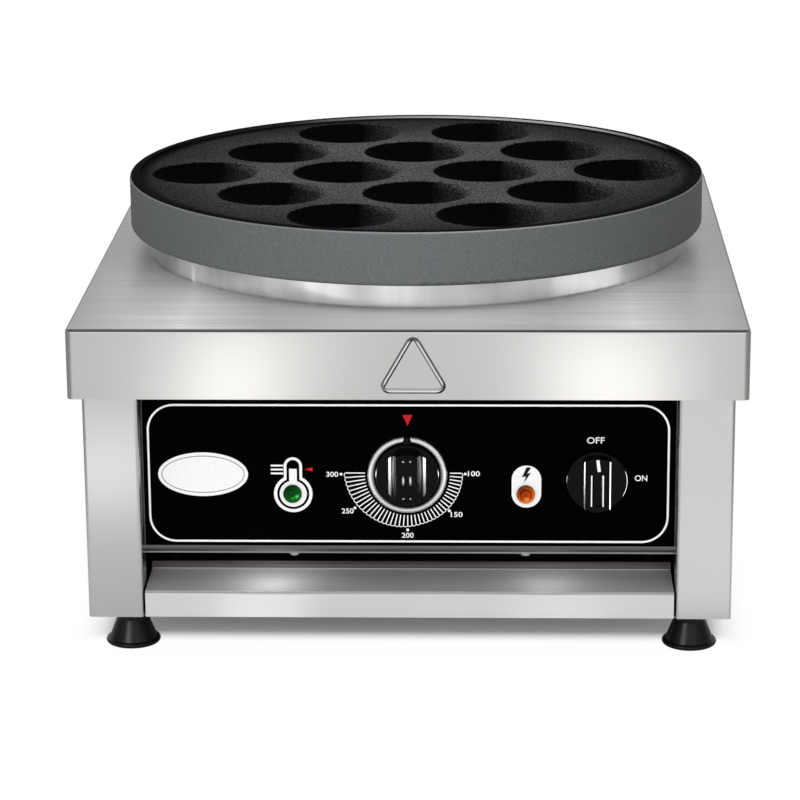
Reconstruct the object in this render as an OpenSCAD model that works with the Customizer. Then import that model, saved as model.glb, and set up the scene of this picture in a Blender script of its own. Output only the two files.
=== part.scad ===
// Countertop mini pancake baker: a round cast plate with dished cavities on a folded steel cabinet,
// with a recessed control panel, two turning knobs and a sliding drawer.
// X runs to the right, Y to the back and Z up. The origin lies on the ground under the hood's middle.

/* [Cabinet] */
// Width of the hood, the widest piece
hood_w = 435; // [425:1:455]
// Depth of the hood, front to back
hood_d = 480; // [468:1:500]
// Height of the hood's skirt
hood_skirt = 46; // [40:1:52]
// Outside radius of the hood's upright corners
hood_corner_r = 4; // [3.5:0.5:8]
// Overhang of the hood past each side of the cabinet
overhang_x = 8; // [6:0.5:11]
// Overhang of the hood past the front and the back of the cabinet
overhang_y = 10; // [10:0.5:14]
// Height from the cabinet's underside to the hood's top
cabinet_h = 197; // [190:1:206]
// Thickness of the steel sheet
sheet = 1.2; // [1:0.1:1.5]
// Inside radius of the sheet's bends
bend_r = 1; // [0.8:0.1:2]
// Width of each front post
post_w = 36; // [32:0.5:40]
// Height of the upturned flanges of the base pan and the inner floor
flange_h = 18; // [14:0.5:22]
// Width of the side panels' rear flanges
rear_flange = 18; // [15:0.5:24]

/* [Hood emblem] */
// Side of the embossed triangle, between the points where its straight runs would meet
triangle_side = 43; // [30:0.5:44]
// Radius of the triangle's corners along the middle of the bead
triangle_corner_r = 3; // [2.5:0.1:5]
// Distance of the triangle to the right of the middle
triangle_x = 4; // [-20:0.5:20]
// Width of the embossed bead
bead_w = 3.4; // [2.6:0.1:4]
// Width of the flat along the bead's top
bead_crown = 1; // [0.6:0.1:1.4]
// Height of the embossed bead
bead_h = 1.3; // [0.8:0.1:1.6]

/* [Baking plate] */
// Outside diameter of the plate
plate_d = 400; // [385:1:420]
// Height of the plate's side
plate_h = 36; // [33:0.5:40]
// Gap between the hood and the plate's lower edge
plate_lift = 18; // [15:0.5:24]
// Thickness of the plate's outer wall
plate_wall = 9; // [7:0.5:11]
// Radius of the plate's upper outer edge
plate_edge_r = 2; // [1:0.5:3]
// Radius of the plate's lower outer edge
plate_foot_r = 3; // [1:0.5:4]
// Width of the rim's flat top
rim_w = 6.5; // [5:0.5:9]
// Height of the rim above the baking face
rim_h = 2; // [1.5:0.5:4]
// Radius of the hollow between the rim and the baking face
rim_fillet = 1; // [0.5:0.1:1.2]
// Diameter of a cavity where it meets the baking face
cavity_d = 77; // [68:0.5:78]
// Depth of a cavity
cavity_depth = 10; // [7:0.5:12]
// Radius of the rounded lip round a cavity
cavity_lip_r = 3; // [2:0.5:8]
// Distance of the outer cavities from the rim's hollow
cavity_margin = 6.5; // [4:0.5:8]
// Metal left under a cavity
cavity_floor = 6; // [5:0.5:8]
// Turn of the cavity pattern
pattern_turn = 1.8; // [-10:0.1:10]

/* [Heater] */
// Gap between the plate's wall and the collar
collar_gap = 3.5; // [2:0.5:5]
// Width of the collar's foot on the hood
collar_foot = 14; // [10:0.5:16]
// Distance from the collar to the outer heating loop
loop_inset = 26; // [24:0.5:30]
// Radius of the inner heating loop
inner_loop_r = 85; // [78:1:90]
// Distance between the two runs of a heating loop
loop_step = 25; // [20:0.5:28]
// Diameter of the heating tube
tube_d = 8; // [6.5:0.1:8.5]
// Thickness of the disc that presses the tubes to the plate
clamp_t = 2; // [1.5:0.1:3]
// Radius of the circle of plate studs
stud_r = 112; // [108:1:116]
// Diameter of the plate studs
stud_d = 8; // [6:0.5:10]
// Diameter of the bosses under the plate
boss_d = 20; // [16:0.5:24]
// Diameter of the stud spacers
spacer_d = 14; // [12.5:0.5:18]
// Width of the support bars under the hood
bar_w = 30; // [26:1:36]
// Height of the support bars
bar_h = 20; // [16:1:26]
// Thickness of the support bars
bar_t = 2; // [1.5:0.1:3]

/* [Control panel] */
// Depth of the panel behind the posts
panel_recess = 20; // [16:0.5:23]
// Height of the panel's lower edge above the cabinet's underside
panel_lift = 37.6; // [34:0.1:42]
// Inside radius of the panel's lower bend
panel_bend = 3; // [2:0.1:4]
// Height of the bare lip below the overlay
bare_lip = 5.5; // [4.8:0.1:8]
// Thickness of the printed overlay
overlay_t = 0.5; // [0.3:0.1:1]
// Place of the thermostat knob to the right of the middle
thermostat_x = -1; // [-8:0.5:8]
// Height of the thermostat knob above the cabinet's underside
thermostat_lift = 93; // [88:0.5:98]
// Distance of the power knob from the right post
power_inset = 51.5; // [44:0.5:58]
// Height of the power knob above the cabinet's underside
power_lift = 89.5; // [82:0.5:96]
// Distance of each lamp from the post on its side
lamp_inset = 97.5; // [90:0.5:104]
// Height of the lamps above the cabinet's underside
lamp_lift = 79; // [70:0.5:90]
// Diameter of the lamp lenses
lamp_d = 12; // [10:0.2:14]

/* [Knobs] */
// Diameter of the thermostat knob
dial_d = 42; // [41:0.5:44]
// Outside diameter of the thermostat knob's ring
ring_d = 52; // [50:0.5:54]
// Height of the ring
ring_h = 4.5; // [4:0.1:5]
// Height of the thermostat knob
dial_h = 16; // [15:0.5:20]
// Width of the thermostat knob's grip at its top
dial_grip = 14; // [11:0.5:15]
// Length of the thermostat knob's grip
dial_grip_l = 34; // [30:0.5:37]
// Diameter of the power knob
power_d = 40; // [40:0.5:44]
// Height of the power knob
power_h = 15; // [14:0.5:18]
// Width of the power knob's grip
power_grip = 18.5; // [14:0.5:22]
// Length of the power knob's grip
power_grip_l = 36; // [32:0.5:38]
// Height of both knobs' round bases
knob_base = 6; // [5.5:0.1:7]
// Wall of the hollow knobs
knob_wall = 2.2; // [1.6:0.1:2.4]
// Diameter of the turning shafts
shaft_d = 6; // [5:0.1:8]

/* [Drawer] */
// Height of the drawer's face
face_h = 17.6; // [15:0.1:20]
// Depth of the ledge behind the face
ledge_d = 46; // [38:1:52]
// Height of the finger lip behind the ledge
lip_h = 5.5; // [4:0.5:8]
// Gap at each end of the drawer's front
drawer_gap = 1.2; // [0.8:0.1:2]
// Inset of the tray behind each end of the front
tray_inset = 14; // [13:0.5:20]
// Length of the tray
tray_d = 370; // [330:5:375]
// Height of the runners
runner_h = 12; // [8:0.5:16]

/* [Feet] */
// Height of the feet
foot_h = 27.5; // [24:0.5:34]
// Diameter of a foot's flared base
foot_d = 36; // [35:0.5:42]
// Diameter of a foot just above its base
foot_neck_d = 31.5; // [26:0.5:32]
// Diameter of a foot's top
foot_top_d = 21; // [20:0.5:24]
// Height at which a foot's flare ends in its straight neck
foot_flare_h = 17; // [14:0.5:21]
// Thickness of a foot's base
foot_base_t = 3.5; // [3:0.5:5]
// Distance of the feet from the cabinet's sides
foot_side_inset = 25; // [23:0.5:30]
// Distance of the feet from the cabinet's front and back
foot_inset = 31; // [30:0.5:36]
// Diameter of the foot bolts
foot_bolt_d = 6; // [5:0.5:8]

/* [Back] */
// Number of vent slots
vent_count = 10; // [4:1:12]
// Distance between vent slots
vent_pitch = 18; // [14:0.5:22]
// Width of a vent slot
vent_w = 5; // [3:0.5:8]
// Length of a vent slot
vent_h = 44; // [24:1:56]
// Diameter of the cord gland's bore
gland_bore = 9; // [7:0.5:11]
// Diameter of the cord gland's thread
gland_d = 16; // [14:0.5:18]

/* [Hidden] */
$fn = 64;
// Radial clearance of a shaft or stud in its bore
fit = 0.05;
// Radial clearance of a fastener in a sheet hole
hole_gap = 0.15;
// Clearance between pieces that lie beside each other
seat_gap = 0.3;
// Clearance of the hood's lower flange round the cabinet
hood_gap = 0.8;
// How far a cutting shape runs past what it cuts
over = 1;
// Height and width over corners of a nut, as shares of its thread
nut_share = 0.8;
nut_wide = 1.9;
// Place of a hole across a flange, as a share of its width
flange_share = 0.6;

// Main places
body_w = hood_w - 2 * overhang_x;
body_d = hood_d - 2 * overhang_y;
side_x = body_w / 2;
front_y = -body_d / 2;
rear_y = body_d / 2;
base_z = foot_h;
hood_z = base_z + cabinet_h;
roof_z = hood_z - sheet;
skirt_z = hood_z - hood_skirt;
panel_y = front_y + panel_recess;
opening_x = side_x - post_w;
// Distance from an outside face past a bend to flat sheet
bend_room = sheet + bend_r + seat_gap;

// Baking plate, measured up from its lower edge, and its cavities
plate_r = plate_d / 2;
plate_z = hood_z + plate_lift;
bake_h = plate_h - rim_h;
web_h = bake_h - cavity_depth - cavity_floor;
web_z = plate_z + web_h;
cavity_r = cavity_d / 2;
dish_r = (pow(cavity_r, 2) + pow(cavity_depth, 2)) / (2 * cavity_depth) - cavity_lip_r;
dish_z = dish_r - cavity_depth;
lip_share = dish_r / (dish_r + cavity_lip_r);
lip_start = [cavity_r * lip_share, dish_z - (dish_z + cavity_lip_r) * lip_share];
cavity_reach = plate_r - rim_w - rim_fillet - cavity_margin - cavity_r;
cavity_pitch = [cavity_reach * 2 / 3, cavity_reach * sqrt(2) / 3];
cavity_row = 4;
cavities = [for (row = [-2:2])
    let (count = cavity_row - abs(row))
    for (i = [0:count - 1]) [(i - (count - 1) / 2) * cavity_pitch.x, row * cavity_pitch.y]];

// Heater stack below the plate
collar_r = plate_r - plate_wall - collar_gap;
collar_clear = 4;
collar_top = web_z - collar_clear;
tube_z = web_z - seat_gap - tube_d / 2;
clamp_top = tube_z - tube_d / 2 - seat_gap;
clamp_z = clamp_top - clamp_t;
outer_loop_r = collar_r - loop_inset;
clamp_margin = 8;
loop_turn = 15;
loop_span = 270;
leg_bend = 8;
leg_hole = 14;
leg_drop = 24;
leg_end_z = roof_z - leg_drop;
loops = [outer_loop_r, inner_loop_r];
legs = [for (r = loops, step = [0, loop_step]) let (x = r - step)
    [x * cos(loop_turn) + leg_bend * sin(loop_turn), x * sin(loop_turn) - leg_bend * cos(loop_turn)]];
stud_angles = [90, 210, 330];
studs = [for (a = stud_angles) stud_r * [cos(a), sin(a)]];
stud_hole = stud_d + 2 * hole_gap;
stud_cover = 2;
stud_bite = cavity_floor - stud_cover;
stud_nut_h = nut_share * stud_d;
stud_tail = 3;
stud_end_z = roof_z - bar_t - stud_nut_h - stud_tail;
bar_y = [stud_r * sin(stud_angles[1]), stud_r * sin(stud_angles[0])];
collar_rivet_count = 4;
collar_rivet_turn = 28;
collar_rivet_spots = [for (i = [0:collar_rivet_count - 1])
    let (a = collar_rivet_turn + 360 * i / collar_rivet_count)
    (collar_r - collar_foot / 2) * [cos(a), sin(a)]];

// Control panel
panel_z = base_z + panel_lift;
panel_flange = 30;
panel_lap = 14;
overlay_z = panel_z + bare_lip;
overlay_lap = 8;
overlay_top = skirt_z + overlay_lap;
floor_z = panel_z - sheet;
thermostat = [thermostat_x, base_z + thermostat_lift];
power = [opening_x - power_inset, base_z + power_lift];
lamp_x = opening_x - lamp_inset;
lamps = [[-lamp_x, base_z + lamp_lift], [lamp_x, base_z + lamp_lift]];
knob_gap = 0.8;
knob_out = overlay_t + knob_gap;
shaft_seat = 12;
shaft_grip = 10;
pointer_w = 5.6;
pointer_nose = 2;
pointer_short = 0.5;
pointer_gap = 0.6;
dial_recess_wall = 2.4;
dial_recess = 0.8;
hub_wall = 3;
hub_d = shaft_d + 2 * hub_wall;
shaft_room = 2;
dial_screw = 28;
power_screw = 24;
case_bite = 7;
knob_hole_margin = 2;
lamp_seat = 0.8;
lamp_wall = 1.2;
lamp_sleeve_d = lamp_d - 2 * lamp_seat;
lamp_stem_d = lamp_sleeve_d - 2 * lamp_wall;
lamp_stem = 7;
thermostat_size = [42, 38, 34];
switch_size = [44, 46, 40];

// Thermostat bulb and capillary
probe_d = 6;
probe_r = 105;
probe_start = -60;
probe_l = 64;
probe_end = probe_start + probe_l;
capillary_d = 2;
capillary_bend = 6;
capillary_hole = 6;
capillary_run = 4;
capillary_rise = 8;
capillary = [probe_end + capillary_run + capillary_bend, -probe_r];
capillary_z = thermostat.y + capillary_rise;
probe_z = web_z - seat_gap - probe_d / 2;

// Drawer, at rest
slide_gap = 0.3;
face_z = base_z + slide_gap;
ledge_z = face_z + face_h;
lip_z = ledge_z + lip_h;
tray_z = base_z + sheet + slide_gap;
tray_y = front_y + ledge_d;
tray_x = opening_x - tray_inset;
runner_leg = 12;
runner_x = tray_x + slide_gap;
runner_rivet_x = runner_x + runner_leg * flange_share;
runner_rivet_y = [for (share = [0.1, 0.5, 0.9]) tray_y + tray_d * share];

// Fasteners
screw_d = 4;
screw_hole = screw_d + 2 * hole_gap;
screw_tail = 3;
rivet_d = 3.2;
rivet_hole = rivet_d + 2 * hole_gap;
side_screw_y = 110;
side_screw_spots = concat(
    [for (y = [-side_screw_y, side_screw_y]) [y, base_z + flange_h * flange_share]],
    [for (y = [-side_screw_y, side_screw_y]) [y, floor_z + flange_h * flange_share]],
    [for (y = bar_y) [y, roof_z - bar_h / 2]]);
rear_screw_margin = 24;
rear_screw_spots = [for (x = [-1, 1], z = [base_z + rear_screw_margin, (base_z + roof_z) / 2,
    roof_z - hood_skirt - rear_screw_margin / 2]) [x * (side_x - rear_flange * flange_share), z]];
panel_screw_y = panel_y + sheet + panel_bend + screw_d + seat_gap;
panel_screw_spots = [for (x = [-1, 1]) [x * lamp_x, panel_screw_y]];
foot_x = side_x - foot_side_inset;
foot_y = rear_y - foot_inset;
foot_seat = 12;
foot_bolt_hole = foot_bolt_d + 2 * hole_gap;
foot_recess_gap = 1;
foot_recess_d = 2 * (foot_bolt_d + foot_recess_gap);
foot_nut_h = nut_share * foot_bolt_d;
foot_bolt_tail = 2;
foot_bolt_end = base_z + sheet + foot_nut_h + foot_bolt_tail;
gland_inset = 60;
gland_rise = 24;
gland = [side_x - gland_inset, floor_z + gland_rise];
gland_hex = gland_d * 1.5;
gland_out = 9;
gland_nut_t = 4;
gland_in = gland_nut_t + 4;
terminal_x = 110;
terminal_inset = 90;
terminal_place = [terminal_x, rear_y - terminal_inset];
terminal_ways = 3;
terminal_pitch = 15;
terminal_d = 32;
terminal_h = 22;
terminal_well = 6;
earth_x = 40;
earth_inset = 70;
earth_place = [earth_x, rear_y - earth_inset];

// Shared shapes

function unit(v) = v / norm(v);

// Rectangle with round corners, about its middle
module round_rect(w, h, r) {
    square([w - 2 * r, h], center = true);
    square([w, h - 2 * r], center = true);
    for (x = [-1, 1], y = [-1, 1])
        translate([x * (w / 2 - r), y * (h / 2 - r)])
            circle(r);
}

// Upright rectangle on the axis with its two top corners round
module arch(w, h, r) {
    translate([-w / 2, 0])
        square([w, h - r]);
    translate([r - w / 2, 0])
        square([w - 2 * r, h]);
    for (x = [-1, 1])
        translate([x * (w / 2 - r), h - r])
            circle(r);
}

// Slot with round ends, along Y
module slot(w, h) {
    square([w, h - w], center = true);
    for (y = [-1, 1])
        translate([0, y * (h - w) / 2])
            circle(d = w);
}

// The part of a square of side r, from corner p towards d, that lies outside the circle filling it
module spandrel(p, d, r) {
    translate(p)
        difference() {
            translate([min(0, d.x * r), min(0, d.y * r)])
                square(r);
            translate(d * r)
                circle(r);
        }
}

// Section of a folded sheet along the middle line of its square-cornered path
module folded(path, t = sheet, inside_r = bend_r) {
    r = inside_r + t / 2;
    last = len(path) - 1;
    for (i = [0:last - 1]) {
        u = unit(path[i + 1] - path[i]);
        a = path[i] + (i == 0 ? 0 : r) * u;
        b = path[i + 1] - (i == last - 1 ? 0 : r) * u;
        translate((a + b) / 2)
            rotate(atan2(u.y, u.x))
                square([norm(b - a), t], center = true);
    }
    for (i = [1:last - 1]) {
        u = unit(path[i] - path[i - 1]);
        v = unit(path[i + 1] - path[i]);
        translate(path[i] + (v - u) * r)
            intersection() {
                difference() {
                    circle(r + t / 2);
                    circle(r - t / 2);
                }
                polygon([[0, 0], u * (r + t), (u - v) * (r + t), -v * (r + t)]);
            }
    }
}

// A section in Y and Z drawn out along X, about the middle
module along_x(length) {
    rotate([90, 0, 90])
        linear_extrude(length, center = true)
            children();
}

// A section in X and Z drawn out along Y, from y0 to y1
module along_y(y0, y1) {
    translate([0, y1, 0])
        rotate([90, 0, 0])
            linear_extrude(y1 - y0)
                children();
}

// Round rods, used for shafts and for drilling
module rod_x(p, d, l) {
    translate(p)
        rotate([0, 90, 0])
            cylinder(d = d, h = l, center = true);
}
module rod_y(p, d, y0, y1) {
    translate([p.x, y1, p.y])
        rotate([90, 0, 0])
            cylinder(d = d, h = y1 - y0);
}
module rod_z(p, d, z0, z1) {
    translate([p.x, p.y, z0])
        cylinder(d = d, h = z1 - z0);
}

// Quarter of a bent tube in the XY plane, from the X axis to the Y axis
module quarter_tube(r, d) {
    rotate_extrude(angle = 90)
        translate([r, 0])
            circle(d = d);
}

// Pan head screw: its head stands on Z = 0 and its shank runs down
module screw(grip, d = screw_d) {
    head_h = 0.6 * d;
    translate([0, 0, -grip])
        cylinder(d = d, h = grip + head_h / 2);
    cylinder(d = 2 * d, h = head_h / 2);
    translate([0, 0, head_h / 2])
        cylinder(d1 = 2 * d, d2 = 1.4 * d, h = head_h / 2);
}

// Blind rivet through a stack of sheets below Z = 0, closed on the far side
module rivet(grip) {
    head_h = 0.35 * rivet_d;
    translate([0, 0, -grip - head_h])
        cylinder(d = rivet_d, h = grip + 2 * head_h);
    cylinder(d1 = 2 * rivet_d, d2 = 1.3 * rivet_d, h = head_h);
    translate([0, 0, -grip - head_h])
        cylinder(d = 1.5 * rivet_d, h = head_h);
}

// Hexagon nut of a given thread, standing on Z = 0
module hex_nut(d, h) {
    difference() {
        cylinder(d = nut_wide * d, h = h, $fn = 6);
        translate([0, 0, -over])
            cylinder(d = d + 2 * fit, h = h + 2 * over);
    }
}

// Frame on the control panel: X right, Y up and Z out towards the user, out mm before the panel
module on_panel(place, out) {
    translate([place.x, panel_y - out, place.y])
        rotate([90, 0, 0])
            children();
}

// Frame behind the control panel: Z runs back from the panel's rear face
module behind_panel(place) {
    translate([place.x, panel_y + sheet, place.y])
        rotate([-90, 0, 0])
            children();
}

// Baking plate and collar

// Half section of the plate, from its axis outwards
module plate_section() {
    rim_r = plate_r - rim_w;
    wall_r = plate_r - plate_wall;
    difference() {
        polygon([[0, web_h], [wall_r, web_h], [wall_r, 0], [plate_r, 0], [plate_r, plate_h],
            [rim_r, plate_h], [rim_r, bake_h], [0, bake_h]]);
        spandrel([plate_r, plate_h], [-1, -1], plate_edge_r);
        spandrel([plate_r, 0], [-1, 1], plate_foot_r);
    }
    spandrel([rim_r, bake_h], [-1, 1], rim_fillet);
}

// What a cavity takes away, from the baking face down: a dish of one sphere with a rounded lip
module cavity_cut() {
    rotate_extrude() {
        intersection() {
            translate([0, dish_z])
                circle(dish_r);
            translate([0, -cavity_depth - over])
                square([lip_start.x, cavity_depth + over + lip_start.y]);
        }
        difference() {
            translate([0, lip_start.y])
                square([cavity_r, over - lip_start.y]);
            translate([cavity_r, -cavity_lip_r])
                circle(cavity_lip_r);
        }
    }
}

module baking_plate() {
    color("#3b3d3f")
        translate([0, 0, plate_z])
            difference() {
                union() {
                    rotate_extrude()
                        plate_section();
                    for (p = studs)
                        rod_z(p, boss_d, clamp_top - plate_z, web_h + over);
                }
                rotate(pattern_turn)
                    for (p = cavities)
                        translate([p.x, p.y, bake_h])
                            cavity_cut();
                for (p = studs)
                    rod_z(p, stud_d + 2 * fit, clamp_top - plate_z - over, web_h + stud_bite + seat_gap);
            }
}

module plate_collar() {
    color("#d6d8da")
        difference() {
            rotate_extrude()
                folded([[collar_r - collar_foot, hood_z + sheet / 2],
                    [collar_r - sheet / 2, hood_z + sheet / 2], [collar_r - sheet / 2, collar_top]]);
            for (p = collar_rivet_spots)
                rod_z(p, rivet_hole, hood_z - over, hood_z + sheet + over);
        }
}

module collar_rivets() {
    color("#b8babc")
        for (p = collar_rivet_spots)
            translate([p.x, p.y, hood_z + sheet])
                rivet(2 * sheet);
}

// Heater stack

// Bent heating tube: two runs joined by a return bend, with two legs turned down through the hood
module heating_element(r) {
    runs = [r, r - loop_step];
    color("#5a5450")
        translate([0, 0, tube_z])
            rotate(loop_turn) {
                for (run = runs) {
                    rotate_extrude(angle = loop_span)
                        translate([run, 0])
                            circle(d = tube_d);
                    translate([run, 0, -leg_bend])
                        rotate([90, 0, 90])
                            rotate(90)
                                quarter_tube(leg_bend, tube_d);
                    rod_z([run, -leg_bend], tube_d, leg_end_z - tube_z, -leg_bend);
                }
                rotate(loop_span)
                    translate([r - loop_step / 2, 0])
                        rotate_extrude(angle = 180)
                            translate([loop_step / 2, 0])
                                circle(d = tube_d);
            }
}

module outer_heating_element() {
    heating_element(outer_loop_r);
}

module inner_heating_element() {
    heating_element(inner_loop_r);
}

// Holes that the heater's legs and the capillary need in whatever lies below the plate
module heater_holes(z0, z1) {
    for (p = legs)
        rod_z(p, leg_hole, z0 - over, z1 + over);
    rod_z(capillary, capillary_hole, z0 - over, z1 + over);
}

module element_clamp_disc() {
    color("#8f9295")
        difference() {
            rod_z([0, 0], 2 * (outer_loop_r + tube_d / 2 + clamp_margin), clamp_z, clamp_top);
            heater_holes(clamp_z, clamp_top);
            for (p = studs)
                rod_z(p, stud_hole, clamp_z - over, clamp_top + over);
        }
}

module insulation_pad() {
    color("#e8e4d8")
        difference() {
            rod_z([0, 0], 2 * (collar_r - collar_foot - seat_gap), hood_z, clamp_z - seat_gap);
            heater_holes(hood_z, clamp_z);
            for (p = studs)
                rod_z(p, spacer_d + 2 * seat_gap, hood_z - over, clamp_z + over);
        }
}

module plate_studs() {
    color("#a7a9ab")
        for (p = studs)
            rod_z(p, stud_d, stud_end_z, web_z + stud_bite);
}

module stud_spacers() {
    color("#a7a9ab")
        for (p = studs)
            difference() {
                rod_z(p, spacer_d, hood_z, clamp_z);
                rod_z(p, stud_hole, hood_z - over, clamp_z + over);
            }
}

module stud_nuts() {
    color("#a7a9ab")
        for (p = studs)
            translate([p.x, p.y, roof_z - bar_t - stud_nut_h])
                hex_nut(stud_d, stud_nut_h);
}

// Channel under the hood, with closed ends that are screwed to the side panels
module support_bar(y) {
    inner_x = side_x - sheet;
    leg = bar_w / 2 - bar_t / 2;
    color("#9b9ea1")
        difference() {
            union() {
                along_x(2 * inner_x)
                    folded([[y - leg, roof_z - bar_h], [y - leg, roof_z - bar_t / 2],
                        [y + leg, roof_z - bar_t / 2], [y + leg, roof_z - bar_h]], bar_t);
                for (x = [-1, 1])
                    translate([x * (inner_x - bar_t / 2), y, roof_z - bar_h / 2 - bar_t / 2])
                        cube([bar_t, bar_w - bar_t, bar_h - bar_t], center = true);
            }
            for (p = studs)
                rod_z(p, stud_hole, roof_z - bar_t - over, roof_z + over);
            rod_x([0, y, roof_z - bar_h / 2], screw_hole, body_w);
        }
}

module front_support_bar() {
    support_bar(bar_y[0]);
}

module rear_support_bar() {
    support_bar(bar_y[1]);
}

// Cabinet

// Solid block with round upright corners and round top edges
module hood_block(w, d, h, corner, edge) {
    intersection() {
        linear_extrude(h)
            round_rect(w, d, corner);
        along_x(w + over)
            arch(d, h, edge);
        along_y(-d / 2 - over, d / 2 + over)
            arch(w, h, edge);
    }
}

// Triangle about its middle with round corners, from the distance of its sides and the corners' radius
module round_triangle(inside, r) {
    steps = 6;
    polygon([for (i = [0:2], k = [0:steps])
        let (out = 90 + 120 * i, a = out - 60 + 120 * k / steps)
            2 * (inside - r) * [cos(out), sin(out)] + r * [cos(a), sin(a)]]);
}

// Raised bead with sloping sides along a triangle, proud of the face at Y = 0 and rooted in the sheet
module triangle_bead() {
    inside = triangle_side / (2 * sqrt(3));
    slope = (bead_w - bead_crown) / 2 / bead_h;
    rise = bead_h + sheet / 2;
    root = bead_w / 2 + slope * sheet / 2;
    hole = inside - root - slope * over;
    hole_top = inside - bead_crown / 2 + slope * over;
    translate([0, sheet / 2, (triangle_corner_r - inside) / 2])
        rotate([90, 0, 0])
            difference() {
                linear_extrude(rise, scale = (inside + bead_crown / 2) / (inside + root))
                    round_triangle(inside + root, triangle_corner_r + root);
                translate([0, 0, -over])
                    linear_extrude(rise + 2 * over, scale = hole_top / hole)
                        round_triangle(hole, triangle_corner_r - root);
            }
}

module top_hood() {
    edge = bend_r + sheet;
    color("#cfd1d3")
        difference() {
            union() {
                translate([0, 0, skirt_z])
                    difference() {
                        hood_block(hood_w, hood_d, hood_skirt, hood_corner_r, edge);
                        translate([0, 0, sheet])
                            hood_block(hood_w - 2 * sheet, hood_d - 2 * sheet, hood_skirt - 2 * sheet,
                                hood_corner_r - sheet, bend_r);
                        translate([0, 0, -over])
                            linear_extrude(sheet + 2 * over)
                                square([body_w + 2 * hood_gap, body_d + 2 * hood_gap], center = true);
                    }
                translate([triangle_x, -hood_d / 2, skirt_z + hood_skirt / 2])
                    triangle_bead();
            }
            heater_holes(roof_z, hood_z);
            for (p = studs)
                rod_z(p, stud_hole, roof_z - over, hood_z + over);
            for (p = collar_rivet_spots)
                rod_z(p, rivet_hole, roof_z - over, hood_z + over);
        }
}

// Right-hand side panel, folded round the front post and the rear flange
module side_panel() {
    inner = opening_x + sheet / 2;
    outer = side_x - sheet / 2;
    back = rear_y - 1.5 * sheet;
    difference() {
        translate([0, 0, base_z])
            linear_extrude(cabinet_h - sheet)
                folded([[inner, panel_y], [inner, front_y + sheet / 2], [outer, front_y + sheet / 2],
                    [outer, back], [side_x - rear_flange, back]]);
        for (p = side_screw_spots)
            rod_x([side_x, p.x, p.y], screw_hole, 4 * sheet);
        for (p = rear_screw_spots)
            rod_y(p, screw_hole, rear_y - 3 * sheet, rear_y);
    }
}

module right_side_panel() {
    color("#c9cbcd")
        side_panel();
}

module left_side_panel() {
    color("#c9cbcd")
        mirror([1, 0, 0])
            side_panel();
}

module rear_panel() {
    vent_z = (panel_z + skirt_z) / 2 + vent_h / 4;
    color("#c4c6c8")
        difference() {
            translate([-side_x, rear_y - sheet, base_z])
                cube([body_w, sheet, cabinet_h - sheet]);
            along_y(rear_y - 2 * sheet, rear_y + over)
                for (i = [0:vent_count - 1])
                    translate([(i - (vent_count - 1) / 2) * vent_pitch, vent_z])
                        slot(vent_w, vent_h);
            for (p = rear_screw_spots)
                rod_y(p, screw_hole, rear_y - 2 * sheet, rear_y + over);
            rod_y(gland, gland_d + 2 * hole_gap, rear_y - 2 * sheet, rear_y + over);
        }
}

// Flat sheet with a flange turned up along each side panel, its lower face at z
module pan(z, y0, y1) {
    outer = side_x - 1.5 * sheet;
    difference() {
        along_y(y0, y1)
            folded([[-outer, z + flange_h], [-outer, z + sheet / 2], [outer, z + sheet / 2],
                [outer, z + flange_h]]);
        for (p = side_screw_spots)
            rod_x([0, p.x, p.y], screw_hole, body_w);
    }
}

module base_pan() {
    color("#b9bbbd")
        difference() {
            pan(base_z, front_y + bend_room, rear_y - sheet - bend_room);
            for (x = [-1, 1]) {
                translate([x * (opening_x + sheet / 2), front_y, base_z])
                    cube([sheet + 2 * seat_gap, 2 * (panel_recess + seat_gap), flange_h], center = true);
                for (y = [-1, 1])
                    rod_z([x * foot_x, y * foot_y], foot_bolt_hole, base_z - over, base_z + flange_h);
                for (y = runner_rivet_y)
                    rod_z([x * runner_rivet_x, y], rivet_hole, base_z - over, base_z + flange_h);
            }
        }
}

module inner_floor() {
    color("#b9bbbd")
        difference() {
            pan(floor_z, panel_y + sheet + panel_bend, rear_y - sheet - bend_room);
            for (p = panel_screw_spots)
                rod_z(p, screw_hole, floor_z - over, panel_z + over);
        }
}

module side_screws() {
    color("#d0d2d4")
        for (x = [-1, 1], p = side_screw_spots)
            translate([x * side_x, p.x, p.y])
                rotate([0, x * 90, 0])
                    screw(2 * sheet + bar_t + screw_tail);
}

module rear_screws() {
    color("#d0d2d4")
        for (p = rear_screw_spots)
            translate([p.x, rear_y, p.y])
                rotate([-90, 0, 0])
                    screw(2 * sheet + screw_tail);
}

module panel_screws() {
    color("#d0d2d4")
        for (p = panel_screw_spots)
            translate([p.x, p.y, floor_z])
                rotate([180, 0, 0])
                    screw(2 * sheet + screw_tail);
}

// Control panel

// Round hole through the overlay and the panel
module panel_hole(place, d) {
    rod_y(place, d, panel_y - overlay_t - over, panel_y + sheet + over);
}

module control_panel() {
    color("#8b8e90")
        difference() {
            along_x(2 * (opening_x + panel_lap))
                folded([[panel_y + sheet / 2, roof_z], [panel_y + sheet / 2, panel_z + sheet / 2],
                    [panel_y + panel_flange, panel_z + sheet / 2]], sheet, panel_bend);
            for (p = [thermostat, power])
                panel_hole(p, shaft_d + 2 * shaft_room);
            for (p = lamps)
                panel_hole(p, lamp_sleeve_d + 2 * hole_gap);
            for (x = [-1, 1]) {
                panel_hole(thermostat + [x * dial_screw / 2, 0], screw_hole);
                panel_hole(power + [x * power_screw / 2, 0], screw_hole);
            }
            for (p = panel_screw_spots)
                rod_z(p, screw_hole, panel_z - over, panel_z + sheet + over);
        }
}

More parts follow.
